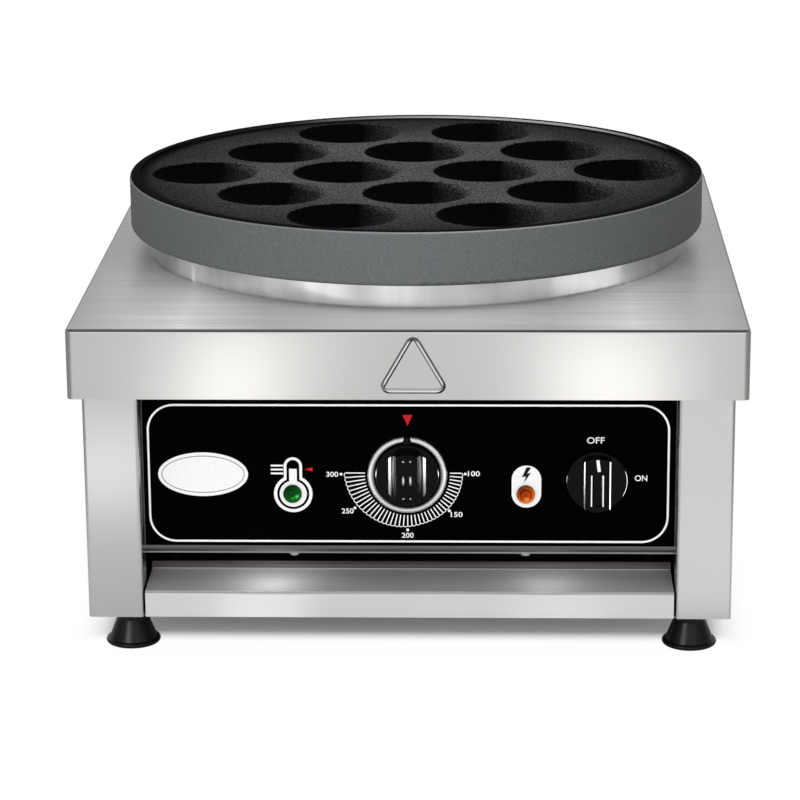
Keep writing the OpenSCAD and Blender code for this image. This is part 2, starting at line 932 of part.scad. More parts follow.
module panel_overlay() {
    color("#0b0b0c")
        difference() {
            translate([seat_gap - opening_x, panel_y - overlay_t, overlay_z])
                cube([2 * (opening_x - seat_gap), overlay_t, overlay_top - overlay_z]);
            panel_hole(thermostat, dial_d - 2 * knob_hole_margin);
            panel_hole(power, power_d - 2 * knob_hole_margin);
            for (p = lamps)
                panel_hole(p, lamp_sleeve_d + 2 * hole_gap);
        }
}

// Moulded case behind the panel with its shaft bore, its screw holes and a row of blade terminals
module control_case(place, size, screw_pitch) {
    blade = [0.8, 6.3, 8];
    corner = 3;
    behind_panel(place)
        difference() {
            union() {
                linear_extrude(size.z)
                    round_rect(size.x, size.y, corner);
                for (x = [-1, 0, 1])
                    translate([x * size.x / 3.5, size.y / 4, size.z + blade.z / 2 - over / 2])
                        cube(blade + [0, 0, over], center = true);
            }
            translate([0, 0, -over])
                cylinder(d = shaft_d + 2 * fit, h = shaft_seat + over + seat_gap);
            for (x = [-1, 1])
                translate([x * screw_pitch / 2, 0, -over])
                    cylinder(d = screw_hole, h = case_bite + 2 * over);
        }
}

module case_screws(place, screw_pitch) {
    for (x = [-1, 1])
        on_panel(place + [x * screw_pitch / 2, 0], 0)
            screw(sheet + case_bite);
}

module control_shaft(place) {
    rod_y(place, shaft_d, panel_y - knob_out - shaft_grip, panel_y + sheet + shaft_seat);
}

module thermostat_body() {
    color("#d9d3c3")
        control_case(thermostat, thermostat_size, dial_screw);
}

module thermostat_screws() {
    color("#d0d2d4")
        case_screws(thermostat, dial_screw);
}

module thermostat_shaft() {
    color("#b0b2b4")
        control_shaft(thermostat);
}

// Sensing bulb under the plate and the thin tube that leads from it to the thermostat
module thermostat_probe() {
    top = probe_z - capillary_bend;
    back_y = panel_y + sheet + thermostat_size.z;
    color("#b87333") {
        rod_x([probe_start + probe_l / 2, -probe_r, probe_z], probe_d, probe_l);
        rod_x([probe_end + capillary_run / 2, -probe_r, probe_z], capillary_d, capillary_run);
        translate([capillary.x - capillary_bend, -probe_r, top])
            rotate([90, 0, 0])
                quarter_tube(capillary_bend, capillary_d);
        rod_z(capillary, capillary_d, capillary_z + capillary_bend, top);
        translate([capillary.x, capillary.y - capillary_bend, capillary_z + capillary_bend])
            rotate([90, 0, 90])
                rotate(-90)
                    quarter_tube(capillary_bend, capillary_d);
        rod_y([capillary.x, capillary_z], capillary_d, back_y, capillary.y - capillary_bend);
    }
}

// Round base of a knob with its top edge round, standing on Z = 0
module knob_disc(d) {
    edge = 1.5;
    rotate_extrude()
        difference() {
            square([d / 2, knob_base]);
            spandrel([d / 2, knob_base], [-1, -1], edge);
        }
}

// Hollow behind a knob round its hub, and the shaft's bore
module knob_hollow(d) {
    difference() {
        translate([0, 0, -over])
            cylinder(d = d - 2 * knob_wall, h = knob_base - knob_wall + over);
        cylinder(d = hub_d, h = knob_base);
    }
    translate([0, 0, -over])
        cylinder(d = shaft_d + 2 * fit, h = shaft_grip + over + seat_gap);
}

// Pointer that breaks the ring at the top of the thermostat knob, out to the radius of its end
module dial_pointer(end, grow = 0) {
    root = pointer_w / 2 + grow;
    nose = pointer_nose / 2 + grow;
    linear_extrude(ring_h + grow)
        polygon([[-root, dial_d / 2 - over], [root, dial_d / 2 - over], [nose, end], [-nose, end]]);
}

// Thermostat knob: a tall grip with hollow flanks on a round base
module thermostat_knob() {
    flank_r = dial_h - knob_base + over / 2;
    color("#161617")
        on_panel(thermostat, knob_out)
            difference() {
                union() {
                    knob_disc(dial_d);
                    intersection() {
                        cylinder(d = dial_grip_l, h = dial_h);
                        along_y(-dial_d, dial_d)
                            difference() {
                                translate([-dial_d / 2, knob_base / 2])
                                    square([dial_d, dial_h - knob_base / 2]);
                                for (x = [-1, 1])
                                    translate([x * (dial_grip / 2 + flank_r), dial_h - over])
                                        circle(flank_r);
                            }
                    }
                    dial_pointer(ring_d / 2 - pointer_short);
                }
                knob_hollow(dial_d);
                translate([0, 0, dial_h - dial_recess])
                    linear_extrude(dial_recess + over)
                        slot(dial_grip - 2 * dial_recess_wall, dial_grip_l - 2 * dial_recess_wall);
            }
}

module thermostat_knob_ring() {
    inner = dial_d / 2 + fit;
    wide = ring_d / 2 - inner;
    color("#d3d5d7")
        on_panel(thermostat, knob_out)
            difference() {
                rotate_extrude()
                    translate([inner + wide / 2, 0])
                        arch(wide, ring_h, wide * 0.4);
                dial_pointer(ring_d / 2 + over, pointer_gap);
            }
}

module power_switch_body() {
    color("#2c2c2e")
        control_case(power, switch_size, power_screw);
}

module power_switch_screws() {
    color("#d0d2d4")
        case_screws(power, power_screw);
}

module power_switch_shaft() {
    color("#b0b2b4")
        control_shaft(power);
}

// Power knob: a straight grip bar across a round base, with a groove along the bar
module power_knob() {
    draft = 0.6;
    edge = 0.8;
    groove = [5, 21, 1.6];
    top = power_grip / 2 - draft;
    color("#161617")
        on_panel(power, knob_out)
            difference() {
                union() {
                    knob_disc(power_d);
                    intersection() {
                        cylinder(d = power_grip_l, h = power_h);
                        along_y(-power_d, power_d)
                            polygon([[-power_grip / 2, knob_base / 2], [power_grip / 2, knob_base / 2],
                                [power_grip / 2, knob_base], [top, power_h - edge], [top - edge, power_h],
                                [edge - top, power_h], [-top, power_h - edge], [-power_grip / 2, knob_base]]);
                    }
                }
                knob_hollow(power_d);
                along_y(-groove.y * 2 / 3, groove.y / 3)
                    polygon([[-groove.x / 2, power_h - groove.z], [groove.x / 2, power_h - groove.z],
                        [groove.x / 2, power_h - edge], [groove.x / 2 + edge, power_h],
                        [groove.x / 2 + edge, power_h + over], [-groove.x / 2 - edge, power_h + over],
                        [-groove.x / 2 - edge, power_h], [-groove.x / 2, power_h - edge]]);
            }
}

// Lamp lens: a low dome on a flange, with a stem in the holder
module lamp_lens(place) {
    flange_t = 1.8;
    dome_h = 2.6;
    dome_d = lamp_d - 2;
    dome_r = (pow(dome_d / 2, 2) + pow(dome_h, 2)) / (2 * dome_h);
    on_panel(place, overlay_t) {
        cylinder(d = lamp_d, h = flange_t);
        translate([0, 0, -lamp_stem])
            cylinder(d = lamp_stem_d, h = lamp_stem + flange_t / 2);
        rotate_extrude()
            intersection() {
                translate([0, flange_t + dome_h - dome_r])
                    circle(dome_r);
                translate([0, flange_t / 2])
                    square([dome_d / 2, dome_h + flange_t]);
            }
    }
}

// Lamp holder: a sleeve through the panel with a collar behind it
module lamp_holder(place) {
    body_l = 26;
    nut_t = 3;
    nut_rim = 3;
    behind_panel(place)
        difference() {
            union() {
                translate([0, 0, -sheet - overlay_t])
                    cylinder(d = lamp_sleeve_d, h = sheet + overlay_t + body_l);
                cylinder(d = lamp_d + 2 * nut_rim, h = nut_t, $fn = 6);
            }
            translate([0, 0, -sheet - overlay_t - over])
                cylinder(d = lamp_stem_d + 2 * fit, h = lamp_stem + over + seat_gap);
        }
}

module green_lamp_lens() {
    color("#1e9b45")
        lamp_lens(lamps[0]);
}

module amber_lamp_lens() {
    color("#e0761a")
        lamp_lens(lamps[1]);
}

module green_lamp_holder() {
    color("#1b1b1c")
        lamp_holder(lamps[0]);
}

module amber_lamp_holder() {
    color("#1b1b1c")
        lamp_holder(lamps[1]);
}

// Mains connection

module terminal_block() {
    size = [terminal_ways * terminal_pitch, terminal_d, terminal_h];
    color("#ece7da")
        translate([terminal_place.x, terminal_place.y, panel_z])
            difference() {
                translate([0, 0, size.z / 2])
                    cube(size, center = true);
                for (i = [0:terminal_ways - 1], y = [-1, 1]) {
                    x = (i - (terminal_ways - 1) / 2) * terminal_pitch;
                    translate([x, y * size.y / 4, size.z / 2])
                        cylinder(d = terminal_well, h = size.z);
                    rod_y([x, size.z / 3], terminal_well, y * size.y / 2 - terminal_well,
                        y * size.y / 2 + terminal_well);
                }
            }
}

module earth_stud() {
    stud = [6, 22];
    washer = [15, 1.5];
    color("#b98d3c")
        translate([earth_place.x, earth_place.y, panel_z]) {
            cylinder(d = stud[0], h = stud[1]);
            cylinder(d = washer[0], h = washer[1]);
            translate([0, 0, washer[1] / 2])
                cylinder(d = nut_wide * stud[0], h = washer[1] / 2 + nut_share * stud[0], $fn = 6);
        }
}

module cable_gland() {
    hex_t = 4;
    flare = 4;
    color("#1c1c1d")
        translate([gland.x, rear_y, gland.y])
            rotate([-90, 0, 0])
                difference() {
                    union() {
                        cylinder(d = gland_hex, h = hex_t, $fn = 6);
                        translate([0, 0, hex_t - over / 2])
                            cylinder(d1 = gland_d + flare, d2 = gland_d, h = gland_out - hex_t + over / 2);
                        translate([0, 0, -sheet - gland_in])
                            cylinder(d = gland_d, h = sheet + gland_in + over);
                    }
                    translate([0, 0, -sheet - gland_in - over])
                        cylinder(d = gland_bore, h = sheet + gland_in + gland_out + 2 * over);
                }
}

module gland_nut() {
    color("#1c1c1d")
        translate([gland.x, rear_y - sheet, gland.y])
            rotate([90, 0, 0])
                difference() {
                    cylinder(d = gland_hex, h = gland_nut_t, $fn = 6);
                    translate([0, 0, -over])
                        cylinder(d = gland_d + 2 * fit, h = gland_nut_t + 2 * over);
                }
}

// Drawer

// Face, ledge and finger lip, folded from one sheet
module drawer_front() {
    face = front_y + sheet / 2;
    lip = tray_y - sheet / 2;
    color("#c9cbcd")
        along_x(2 * (opening_x - drawer_gap))
            folded([[face, face_z], [face, ledge_z - sheet / 2], [lip, ledge_z - sheet / 2], [lip, lip_z]]);
}

module drawer_tray() {
    corner = bend_r + sheet;
    wall_h = lip_z - tray_z;
    color("#bfc1c3")
        translate([0, tray_y + tray_d / 2, tray_z])
            difference() {
                linear_extrude(wall_h)
                    round_rect(2 * tray_x, tray_d, corner);
                translate([0, 0, sheet])
                    linear_extrude(wall_h)
                        round_rect(2 * (tray_x - sheet), tray_d - 2 * sheet, bend_r);
            }
}

// Right-hand runner: an angle that guides the tray's side
module drawer_runner() {
    wall = runner_x + sheet / 2;
    foot = base_z + 1.5 * sheet;
    difference() {
        along_y(tray_y, tray_y + tray_d)
            folded([[wall, foot + runner_h], [wall, foot], [runner_x + runner_leg, foot]]);
        for (y = runner_rivet_y)
            rod_z([runner_rivet_x, y], rivet_hole, base_z, base_z + runner_h);
    }
}

module right_drawer_runner() {
    color("#adb0b2")
        drawer_runner();
}

module left_drawer_runner() {
    color("#adb0b2")
        mirror([1, 0, 0])
            drawer_runner();
}

module runner_rivets() {
    color("#b8babc")
        for (x = [-1, 1], y = runner_rivet_y)
            translate([x * runner_rivet_x, y, base_z + 2 * sheet])
                rivet(2 * sheet);
}

// Feet

// Flared foot with a round-edged base and a recess for the bolt's head
module foot(x, y) {
    edge = foot_base_t / 2;
    color("#111112")
        translate([x * foot_x, y * foot_y, 0])
            difference() {
                rotate_extrude() {
                    polygon([[0, 0], [foot_neck_d / 2, 0], [foot_neck_d / 2, foot_base_t],
                        [foot_top_d / 2, foot_flare_h], [foot_top_d / 2, foot_h], [0, foot_h]]);
                    square([foot_d / 2 - edge, foot_base_t]);
                    translate([foot_d / 2 - edge, edge])
                        circle(edge);
                }
                translate([0, 0, -over])
                    cylinder(d = foot_recess_d, h = foot_seat + over);
                cylinder(d = foot_bolt_hole, h = foot_h + over);
            }
}

module front_left_foot() {
    foot(-1, -1);
}

module front_right_foot() {
    foot(1, -1);
}

module rear_left_foot() {
    foot(-1, 1);
}

module rear_right_foot() {
    foot(1, 1);
}

module foot_bolts() {
    color("#a7a9ab")
        for (x = [-1, 1], y = [-1, 1])
            translate([x * foot_x, y * foot_y, foot_seat])
                rotate([180, 0, 0])
                    screw(foot_bolt_end - foot_seat, foot_bolt_d);
}

module foot_nuts() {
    color("#a7a9ab")
        for (x = [-1, 1], y = [-1, 1])
            translate([x * foot_x, y * foot_y, base_z + sheet])
                hex_nut(foot_bolt_d, foot_nut_h);
}

baking_plate();
plate_collar();
collar_rivets();
outer_heating_element();
inner_heating_element();
element_clamp_disc();
insulation_pad();
plate_studs();
stud_spacers();
stud_nuts();
top_hood();
left_side_panel();
right_side_panel();
rear_panel();
base_pan();
inner_floor();
front_support_bar();
rear_support_bar();
side_screws();
rear_screws();
panel_screws();
control_panel();
panel_overlay();
thermostat_body();
thermostat_screws();
thermostat_probe();
thermostat_shaft();
thermostat_knob();
thermostat_knob_ring();
power_switch_body();
power_switch_screws();
power_switch_shaft();
power_knob();
green_lamp_lens();
green_lamp_holder();
amber_lamp_lens();
amber_lamp_holder();
terminal_block();
earth_stud();
cable_gland();
gland_nut();
drawer_front();
drawer_tray();
left_drawer_runner();
right_drawer_runner();
runner_rivets();
front_left_foot();
front_right_foot();
rear_left_foot();
rear_right_foot();
foot_bolts();
foot_nuts();
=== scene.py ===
import math

import bmesh
import bpy
from mathutils import Euler, Matrix, Vector
from mathutils.geometry import tessellate_polygon


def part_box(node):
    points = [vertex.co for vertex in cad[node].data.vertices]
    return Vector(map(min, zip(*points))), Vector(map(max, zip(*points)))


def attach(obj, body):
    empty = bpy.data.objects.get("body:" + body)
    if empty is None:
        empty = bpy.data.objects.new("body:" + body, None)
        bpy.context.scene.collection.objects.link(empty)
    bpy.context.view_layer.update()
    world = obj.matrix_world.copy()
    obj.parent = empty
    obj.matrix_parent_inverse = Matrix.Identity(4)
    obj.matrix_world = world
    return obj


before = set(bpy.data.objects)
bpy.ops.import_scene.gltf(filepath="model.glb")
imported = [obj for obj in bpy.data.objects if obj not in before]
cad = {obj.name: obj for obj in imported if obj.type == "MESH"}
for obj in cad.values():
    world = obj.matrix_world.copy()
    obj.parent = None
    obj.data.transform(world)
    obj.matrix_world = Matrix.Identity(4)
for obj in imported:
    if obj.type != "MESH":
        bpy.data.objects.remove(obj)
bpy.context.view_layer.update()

MM = 0.001
scene = bpy.context.scene

# Places on the part that the materials need, in metres
BAKE_Z = 0.2765
PLATE_FOOT_Z = 0.2600
PLATE_SIDE_R = 0.1990
LEDGE_Z = 0.0454
SKIRT_Y = -0.24
HOOD_HALF_W = 0.2175
LENS_R = 0.006
SEAM_GLINT_ANGLE = -2.469

# Centres of the controls, in millimetres of x and z
DIAL = (-1.0, 120.5)
POWER = (122.0, 117.0)
LAMPS = ((-76.0, 106.5), (76.0, 106.5))

# The photo's light comes from the upper left
# Painted shade and painted light on the hood's bead and on the lenses follow this direction
AWAY_FROM_LIGHT = (0.5, 0.0, -0.87)

# Noise scales: streaks along one axis, or none
ALONG_X = (5.0, 800.0, 800.0)
ALONG_Y = (800.0, 5.0, 800.0)
ALONG_Z = (800.0, 800.0, 5.0)
EVEN = (300.0, 300.0, 300.0)
BROAD_CLOUDS = (9.0, 9.0, 1.5)

WARM_STEEL = (1.0, 0.995, 0.985)


# Node helpers

def rgb(r, g, b):
    """Linear colour from 0-255 screen values."""
    def one(c):
        c /= 255
        return c / 12.92 if c <= 0.04045 else ((c + 0.055) / 1.055) ** 2.4
    return (one(r), one(g), one(b), 1.0)


def grey(v):
    return (v, v, v, 1.0)


class Nodes:
    """Short ways to add nodes to a tree. An input is a value or another node's output."""

    def __init__(self, tree):
        self.tree = tree

    def put(self, socket, value):
        if isinstance(value, bpy.types.NodeSocket):
            self.tree.links.new(value, socket)
        else:
            socket.default_value = value

    def add(self, kind, inputs=None, **props):
        node = self.tree.nodes.new(kind)
        for key, value in props.items():
            setattr(node, key, value)
        for key, value in (inputs or {}).items():
            self.put(node.inputs[key], value)
        return node

    def ramp(self, fac, *stops):
        node = self.add("ShaderNodeValToRGB", {"Fac": fac})
        items = node.color_ramp.elements
        while len(items) < len(stops):
            items.new(0.5)
        for item, (at, colour) in zip(items, stops):
            item.position = at
            item.color = colour
        return node.outputs["Color"]

    def span(self, value, lo, hi, a=0.3, b=0.7, **props):
        """Carries the range a to b over to the range lo to hi."""
        inputs = {"Value": value, "From Min": a, "From Max": b, "To Min": lo, "To Max": hi}
        return self.add("ShaderNodeMapRange", inputs, **props).outputs["Result"]

    def math(self, op, a, b=0.0):
        return self.add("ShaderNodeMath", {0: a, 1: b}, operation=op).outputs[0]

    def vector(self, op, a, b=None):
        inputs = {0: a} if b is None else {0: a, 1: b}
        node = self.add("ShaderNodeVectorMath", inputs, operation=op)
        return node.outputs["Value" if op in ("LENGTH", "DOT_PRODUCT") else "Vector"]

    def axis(self, source, name):
        return self.add("ShaderNodeSeparateXYZ", {0: source}).outputs[name]

    def either(self, fac, no, yes):
        return self.add("ShaderNodeMixShader", {0: fac, 1: no, 2: yes}).outputs[0]


class Tree(Nodes):
    """A new material with one Principled shader."""

    def __init__(self, name, rough, metal, spec=0.5):
        self.mat = bpy.data.materials.new(name)
        self.mat.use_nodes = True
        super().__init__(self.mat.node_tree)
        self.bsdf = next(n for n in self.tree.nodes if n.type == "BSDF_PRINCIPLED")
        self.set("Roughness", rough)
        self.set("Metallic", metal)
        self.set("Specular IOR Level", spec)
        place = self.add("ShaderNodeTexCoord")
        self.object = place.outputs["Object"]
        self.normal = place.outputs["Normal"]

    def set(self, key, value):
        self.put(self.bsdf.inputs[key], value)

    def noise(self, scale, detail=3.0, rough=0.55, stretch=None):
        vector = self.object
        if stretch:
            mapping = self.add("ShaderNodeMapping", {"Vector": vector, "Scale": stretch})
            vector = mapping.outputs[0]
        inputs = {"Vector": vector, "Scale": scale, "Detail": detail, "Roughness": rough}
        return self.add("ShaderNodeTexNoise", inputs).outputs["Fac"]

    def streaks(self, value, detail):
        """Noise along one value, such as an angle."""
        return self.add("ShaderNodeTexNoise", {"W": value, "Scale": 1.0, "Detail": detail},
                        noise_dimensions="1D").outputs["Fac"]

    def mix(self, fac, a, b, blend="MIX"):
        return self.add("ShaderNodeMixRGB", {"Fac": fac, "Color1": a, "Color2": b},
                        blend_type=blend).outputs[0]

    def times(self, a, b):
        return self.mix(1.0, a, b, "MULTIPLY")

    def lerp(self, fac, a, b):
        return self.add("ShaderNodeMix", {0: fac, 2: a, 3: b}).outputs[0]

    def radius(self, x, z):
        """Distance from an axis along Y through x and z, in metres."""
        moved = self.vector("SUBTRACT", self.object, (x, 0.0, z))
        return self.vector("LENGTH", self.vector("MULTIPLY", moved, (1.0, 0.0, 1.0)))

    def bump(self, height, strength, distance, under=None):
        inputs = {"Height": height, "Strength": strength, "Distance": distance}
        if under:
            inputs["Normal"] = under
        out = self.add("ShaderNodeBump", inputs).outputs[0]
        self.set("Normal", out)
        return out


def brushed(name, tone, rough, stretch, contrast, clouds, tint=WARM_STEEL, bump=0.12, gloss=0.06):
    """Brushed sheet: streaks along the axis with the small stretch, and broad faint clouds."""
    t = Tree(name, rough, 1.0)
    streak = t.noise(1.0, 5.0, 0.65, stretch)
    broad = t.noise(7.0, 2.0)
    low = [tone * (1 - contrast) * c for c in tint]
    high = [tone * (1 + contrast * 0.6) * c for c in tint]
    base = t.ramp(streak, (0.3, (*low, 1)), (0.7, (*high, 1)))
    shade = t.ramp(broad, (0.3, grey(1 - clouds)), (0.7, grey(1 + clouds)))
    t.set("Base Color", t.times(base, shade))
    t.set("Roughness", t.span(streak, rough - gloss, rough + gloss))
    t.bump(streak, bump, 0.0002)
    return t.mat


def moulded(name, colour, rough, spec, grain=1400.0, bump=0.08, vary=0.25):
    """Moulded plastic: a fine spark-eroded grain and slight changes of gloss."""
    t = Tree(name, rough, 0.0, spec)
    fine = t.noise(grain, 2.0)
    broad = t.noise(40.0, 3.0)
    low = [c * (1 - vary) for c in colour[:3]]
    high = [c * (1 + vary) for c in colour[:3]]
    t.set("Base Color", t.ramp(broad, (0.3, (*low, 1)), (0.7, (*high, 1))))
    t.set("Roughness", t.span(broad, rough - 0.05, rough + 0.06))
    t.bump(fine, bump, 0.0001)
    return t.mat


# Materials

def plate_material():
    """Grained black face, black rim and a satin grey side, with light and shade painted on the
    face, in the cavities, on the rim and along the side's top.
    """
    t = Tree("plate_coating", 0.6, 0.0, 0.004)
    flat = t.add("ShaderNodeMapping", {"Vector": t.object, "Scale": (1.0, 1.0, 0.0)}).outputs[0]
    radius = t.vector("LENGTH", flat)
    height = t.axis(t.object, "Z")
    side = t.math("MAXIMUM", t.span(radius, 0.0, 1.0, PLATE_SIDE_R, PLATE_SIDE_R + 0.0006),
                  t.span(height, 1.0, 0.0, PLATE_FOOT_Z, PLATE_FOOT_Z + 0.0005))
    sunk = t.span(height, 1.0, 0.0, BAKE_Z - 0.0007, BAKE_Z - 0.0001)
    rim = t.span(height, 0.0, 1.0, BAKE_Z + 0.0002, BAKE_Z + 0.0008)
    # The right-hand walls of the cavities get painted light, and their lips fade into the face;
    # deeper down the cavities are painted near black as shade
    painted_lit_side = t.span(t.axis(t.normal, "X"), 1.0, 0.0, -0.45, -0.12)
    soft = t.span(height, 1.0, 0.0, BAKE_Z - 0.0035, BAKE_Z - 0.0002)
    dark = t.math("MAXIMUM", t.lerp(painted_lit_side, sunk, soft), rim)
    grain = t.noise(1.0, 2.0, 0.6, (900.0, 520.0, 900.0))
    patch = t.noise(14.0, 4.0)
    # The face is painted lightest in the middle as sheen and nearly black along the rim as shade
    face = t.ramp(grain, (0.40, grey(0.014)), (0.62, grey(0.115)))
    face = t.times(face, t.ramp(patch, (0.3, grey(0.65)), (0.72, grey(1.25))))
    outward = t.span(radius, 0.0, 1.0, 0.10, 0.18)
    face = t.times(face, t.ramp(outward, (0.0, grey(1.05)), (1.0, grey(0.25))))
    speck = t.ramp(grain, (0.52, grey(0.0)), (0.66, grey(0.02)))
    face = t.mix(outward, face, speck, "ADD")
    face = t.mix(t.span(radius, 0.0, 0.85, 0.184, 0.190), face, grey(0.001))
    # Painted shade deep in the cavities, and painted light on their right-hand walls
    painted_shade = t.ramp(grain, (0.38, grey(0.0002)), (0.68, grey(0.003)))
    painted_light = t.ramp(grain, (0.40, grey(0.001)), (0.62, grey(0.035)))
    black = t.mix(dark, face, t.mix(t.math("MULTIPLY", painted_lit_side, sunk), painted_shade, painted_light))
    # The inside of the rim gets a painted highlight at the back and on the right
    rim_highlight = t.math("MULTIPLY", rim, t.span(t.axis(t.normal, "Y"), 1.0, 0.0, -0.75, -0.35))
    rim_highlight = t.math("MULTIPLY", rim_highlight, t.span(t.axis(t.object, "X"), 0.04, 1.0, -0.1, 0.02))
    black = t.mix(rim_highlight, black, grey(0.42))
    mottle = t.noise(900.0, 4.0, 0.65)
    satin = t.ramp(mottle, (0.3, (0.100, 0.107, 0.111, 1)), (0.7, (0.158, 0.165, 0.168, 1)))
    # A thin painted highlight along the top of the plate's side
    edge_highlight = t.math("MULTIPLY", side, t.span(height, 0.0, 1.0, BAKE_Z + 0.0008, BAKE_Z + 0.0016))
    satin = t.mix(edge_highlight, satin, (0.30, 0.31, 0.315, 1))
    t.set("Base Color", t.mix(side, black, satin))
    coat_rough = t.lerp(sunk, t.span(grain, 0.5, 0.7), t.span(grain, 0.75, 0.95))
    t.set("Roughness", t.lerp(side, coat_rough, t.span(mottle, 0.42, 0.52)))
    t.set("Metallic", t.math("MULTIPLY", side, 0.35))
    first = t.bump(grain, 0.45, 0.0004)
    t.bump(mottle, 0.08, 0.0004, first)
    return t.mat


def collar_material():
    """Bright sheet with upright streaks round the collar, painted darker at its ends as shade, and
    a pale upright glint painted where the sheet's ends meet.
    """
    t = Tree("collar_steel", 0.3, 1.0)
    angle = t.math("ARCTAN2", t.axis(t.object, "Y"), t.axis(t.object, "X"))
    fine = t.streaks(t.math("MULTIPLY", angle, 240.0), 4.0)
    wide = t.streaks(t.math("MULTIPLY", angle, 9.0), 3.0)
    # A pale upright glint is painted where the sheet's ends meet
    from_seam_glint = t.math("ABSOLUTE", t.math("SUBTRACT", angle, SEAM_GLINT_ANGLE))
    seam_glint = t.span(from_seam_glint, 1.0, 0.0, 0.005, 0.017)
    base = t.ramp(fine, (0.3, grey(0.76)), (0.7, grey(0.82)))
    base = t.times(base, t.ramp(wide, (0.3, grey(0.90)), (0.68, grey(1.06))))
    # Painted shade: the collar is darker towards its ends
    turned = t.math("ABSOLUTE", t.math("SINE", t.math("ADD", angle, math.pi / 2)))
    base = t.times(base, t.ramp(turned, (0.78, grey(1.0)), (0.92, grey(0.55))))
    t.set("Base Color", t.mix(seam_glint, base, grey(0.95)))
    t.set("Metallic", t.span(seam_glint, 1.0, 0.3, 0.0, 1.0))
    t.set("Roughness", t.span(fine, 0.17, 0.24))
    t.bump(fine, 0.05, 0.0002)
    return t.mat


def hood_material():
    """Top brushed from side to side, smoother skirt, and the triangle's bead; light and shade are
    painted across the top, along the fold and on the bead.
    """
    t = Tree("hood_steel", 0.3, 1.0)
    top = t.span(t.axis(t.normal, "Z"), 0.0, 1.0, 0.6, 0.9)
    flank = t.span(t.math("ABSOLUTE", t.axis(t.normal, "X")), 0.0, 1.0, 0.5, 0.8)
    cross = t.noise(1.0, 6.0, 0.75, (4.0, 420.0, 420.0))
    along = t.noise(1.0, 6.0, 0.75, (420.0, 4.0, 420.0))
    streak = t.lerp(flank, cross, along)
    bold = t.ramp(streak, (0.3, (0.50, 0.50, 0.505, 1)), (0.7, (0.82, 0.82, 0.82, 1)))
    # Painted bands of light and shade across the top, brightest two thirds of the way out and
    # darker towards the sides
    across = t.math("ABSOLUTE", t.axis(t.object, "X"))
    level = t.ramp(t.span(across, 0.0, 1.0, 0.0, HOOD_HALF_W), (0.0, grey(0.96)),
                   (0.42, grey(0.92)), (0.66, grey(1.3)), (0.84, grey(0.75)), (1.0, grey(0.48)))
    bold = t.times(bold, level)
    soft = t.ramp(streak, (0.25, (0.768, 0.752, 0.738, 1)), (0.75, (0.782, 0.766, 0.752, 1)))
    base = t.mix(top, soft, bold)
    # The fold between top and skirt is painted as a dark line, a painted dark reflection
    tilt = t.axis(t.normal, "Z")
    painted_fold_line = t.math("MULTIPLY", t.span(tilt, 0.0, 1.0, 0.3, 0.45),
                  t.span(tilt, 1.0, 0.0, 0.93, 0.98))
    base = t.mix(painted_fold_line, base, grey(0.1))
    # Everything in front of the skirt is the bead, and its crown is its foremost part
    depth = t.axis(t.object, "Y")
    on_bead = t.span(depth, 1.0, 0.0, SKIRT_Y - 0.00012, SKIRT_Y - 0.00004)
    below_crown = t.span(depth, 0.0, 1.0, SKIRT_Y - 0.00128, SKIRT_Y - 0.0011)
    slope = t.math("MULTIPLY", on_bead, below_crown)
    facing = t.vector("DOT_PRODUCT", t.normal, AWAY_FROM_LIGHT)
    painted_shade = t.span(facing, 0.55, 1.0, -0.1, 0.35)
    # Painted highlight on the bead's crown, and painted shade on its slopes that face away from
    # the light
    base = t.mix(on_bead, base, grey(0.97))
    base = t.mix(t.math("MULTIPLY", slope, painted_shade), base, grey(0.02))
    broad = t.noise(1.0, 2.0, 0.5, BROAD_CLOUDS)
    shade = t.ramp(broad, (0.3, grey(0.94)), (0.7, grey(1.04)))
    t.set("Base Color", t.times(base, shade))
    t.set("Metallic", t.lerp(top, 1.0, 0.45))
    t.set("Roughness", t.lerp(top, 0.21, t.span(streak, 0.36, 0.5)))
    t.bump(t.math("MULTIPLY", streak, top), 0.1, 0.0002)
    return t.mat


def drawer_material():
    """Bright smooth face, dull ledge painted darker as shade, and a brown lip behind it painted
    dark as shade.
    """
    t = Tree("drawer_steel", 0.3, 1.0)
    up = t.span(t.axis(t.normal, "Z"), 0.0, 1.0, 0.6, 0.9)
    back = t.span(t.axis(t.object, "Z"), 0.0, 1.0, LEDGE_Z + 0.0004, LEDGE_Z + 0.0010)
    streak = t.noise(1.0, 5.0, 0.65, ALONG_X)
    broad = t.noise(1.0, 2.0, 0.5, BROAD_CLOUDS)
    lip_streaks = t.noise(1.0, 4.0, 0.7, (3.0, 500.0, 500.0))
    face = t.ramp(streak, (0.3, (0.700, 0.690, 0.680, 1)), (0.7, (0.730, 0.722, 0.712, 1)))
    # Painted shade: the ledge under the panel is a darker copy of the face's steel, and the lip
    # behind it is painted dark brown
    ledge = t.ramp(streak, (0.3, grey(0.45)), (0.7, grey(0.49)))
    brown = t.ramp(lip_streaks, (0.35, (0.06, 0.051, 0.051, 1)), (0.6, (0.16, 0.132, 0.132, 1)))
    base = t.mix(back, t.mix(up, face, ledge), brown)
    shade = t.ramp(broad, (0.3, grey(0.95)), (0.7, grey(1.04)))
    t.set("Base Color", t.times(base, shade))
    t.set("Metallic", t.lerp(t.math("MAXIMUM", up, back), 1.0, 0.35))
    t.set("Roughness", t.lerp(up, 0.3, 0.45))
    return t.mat


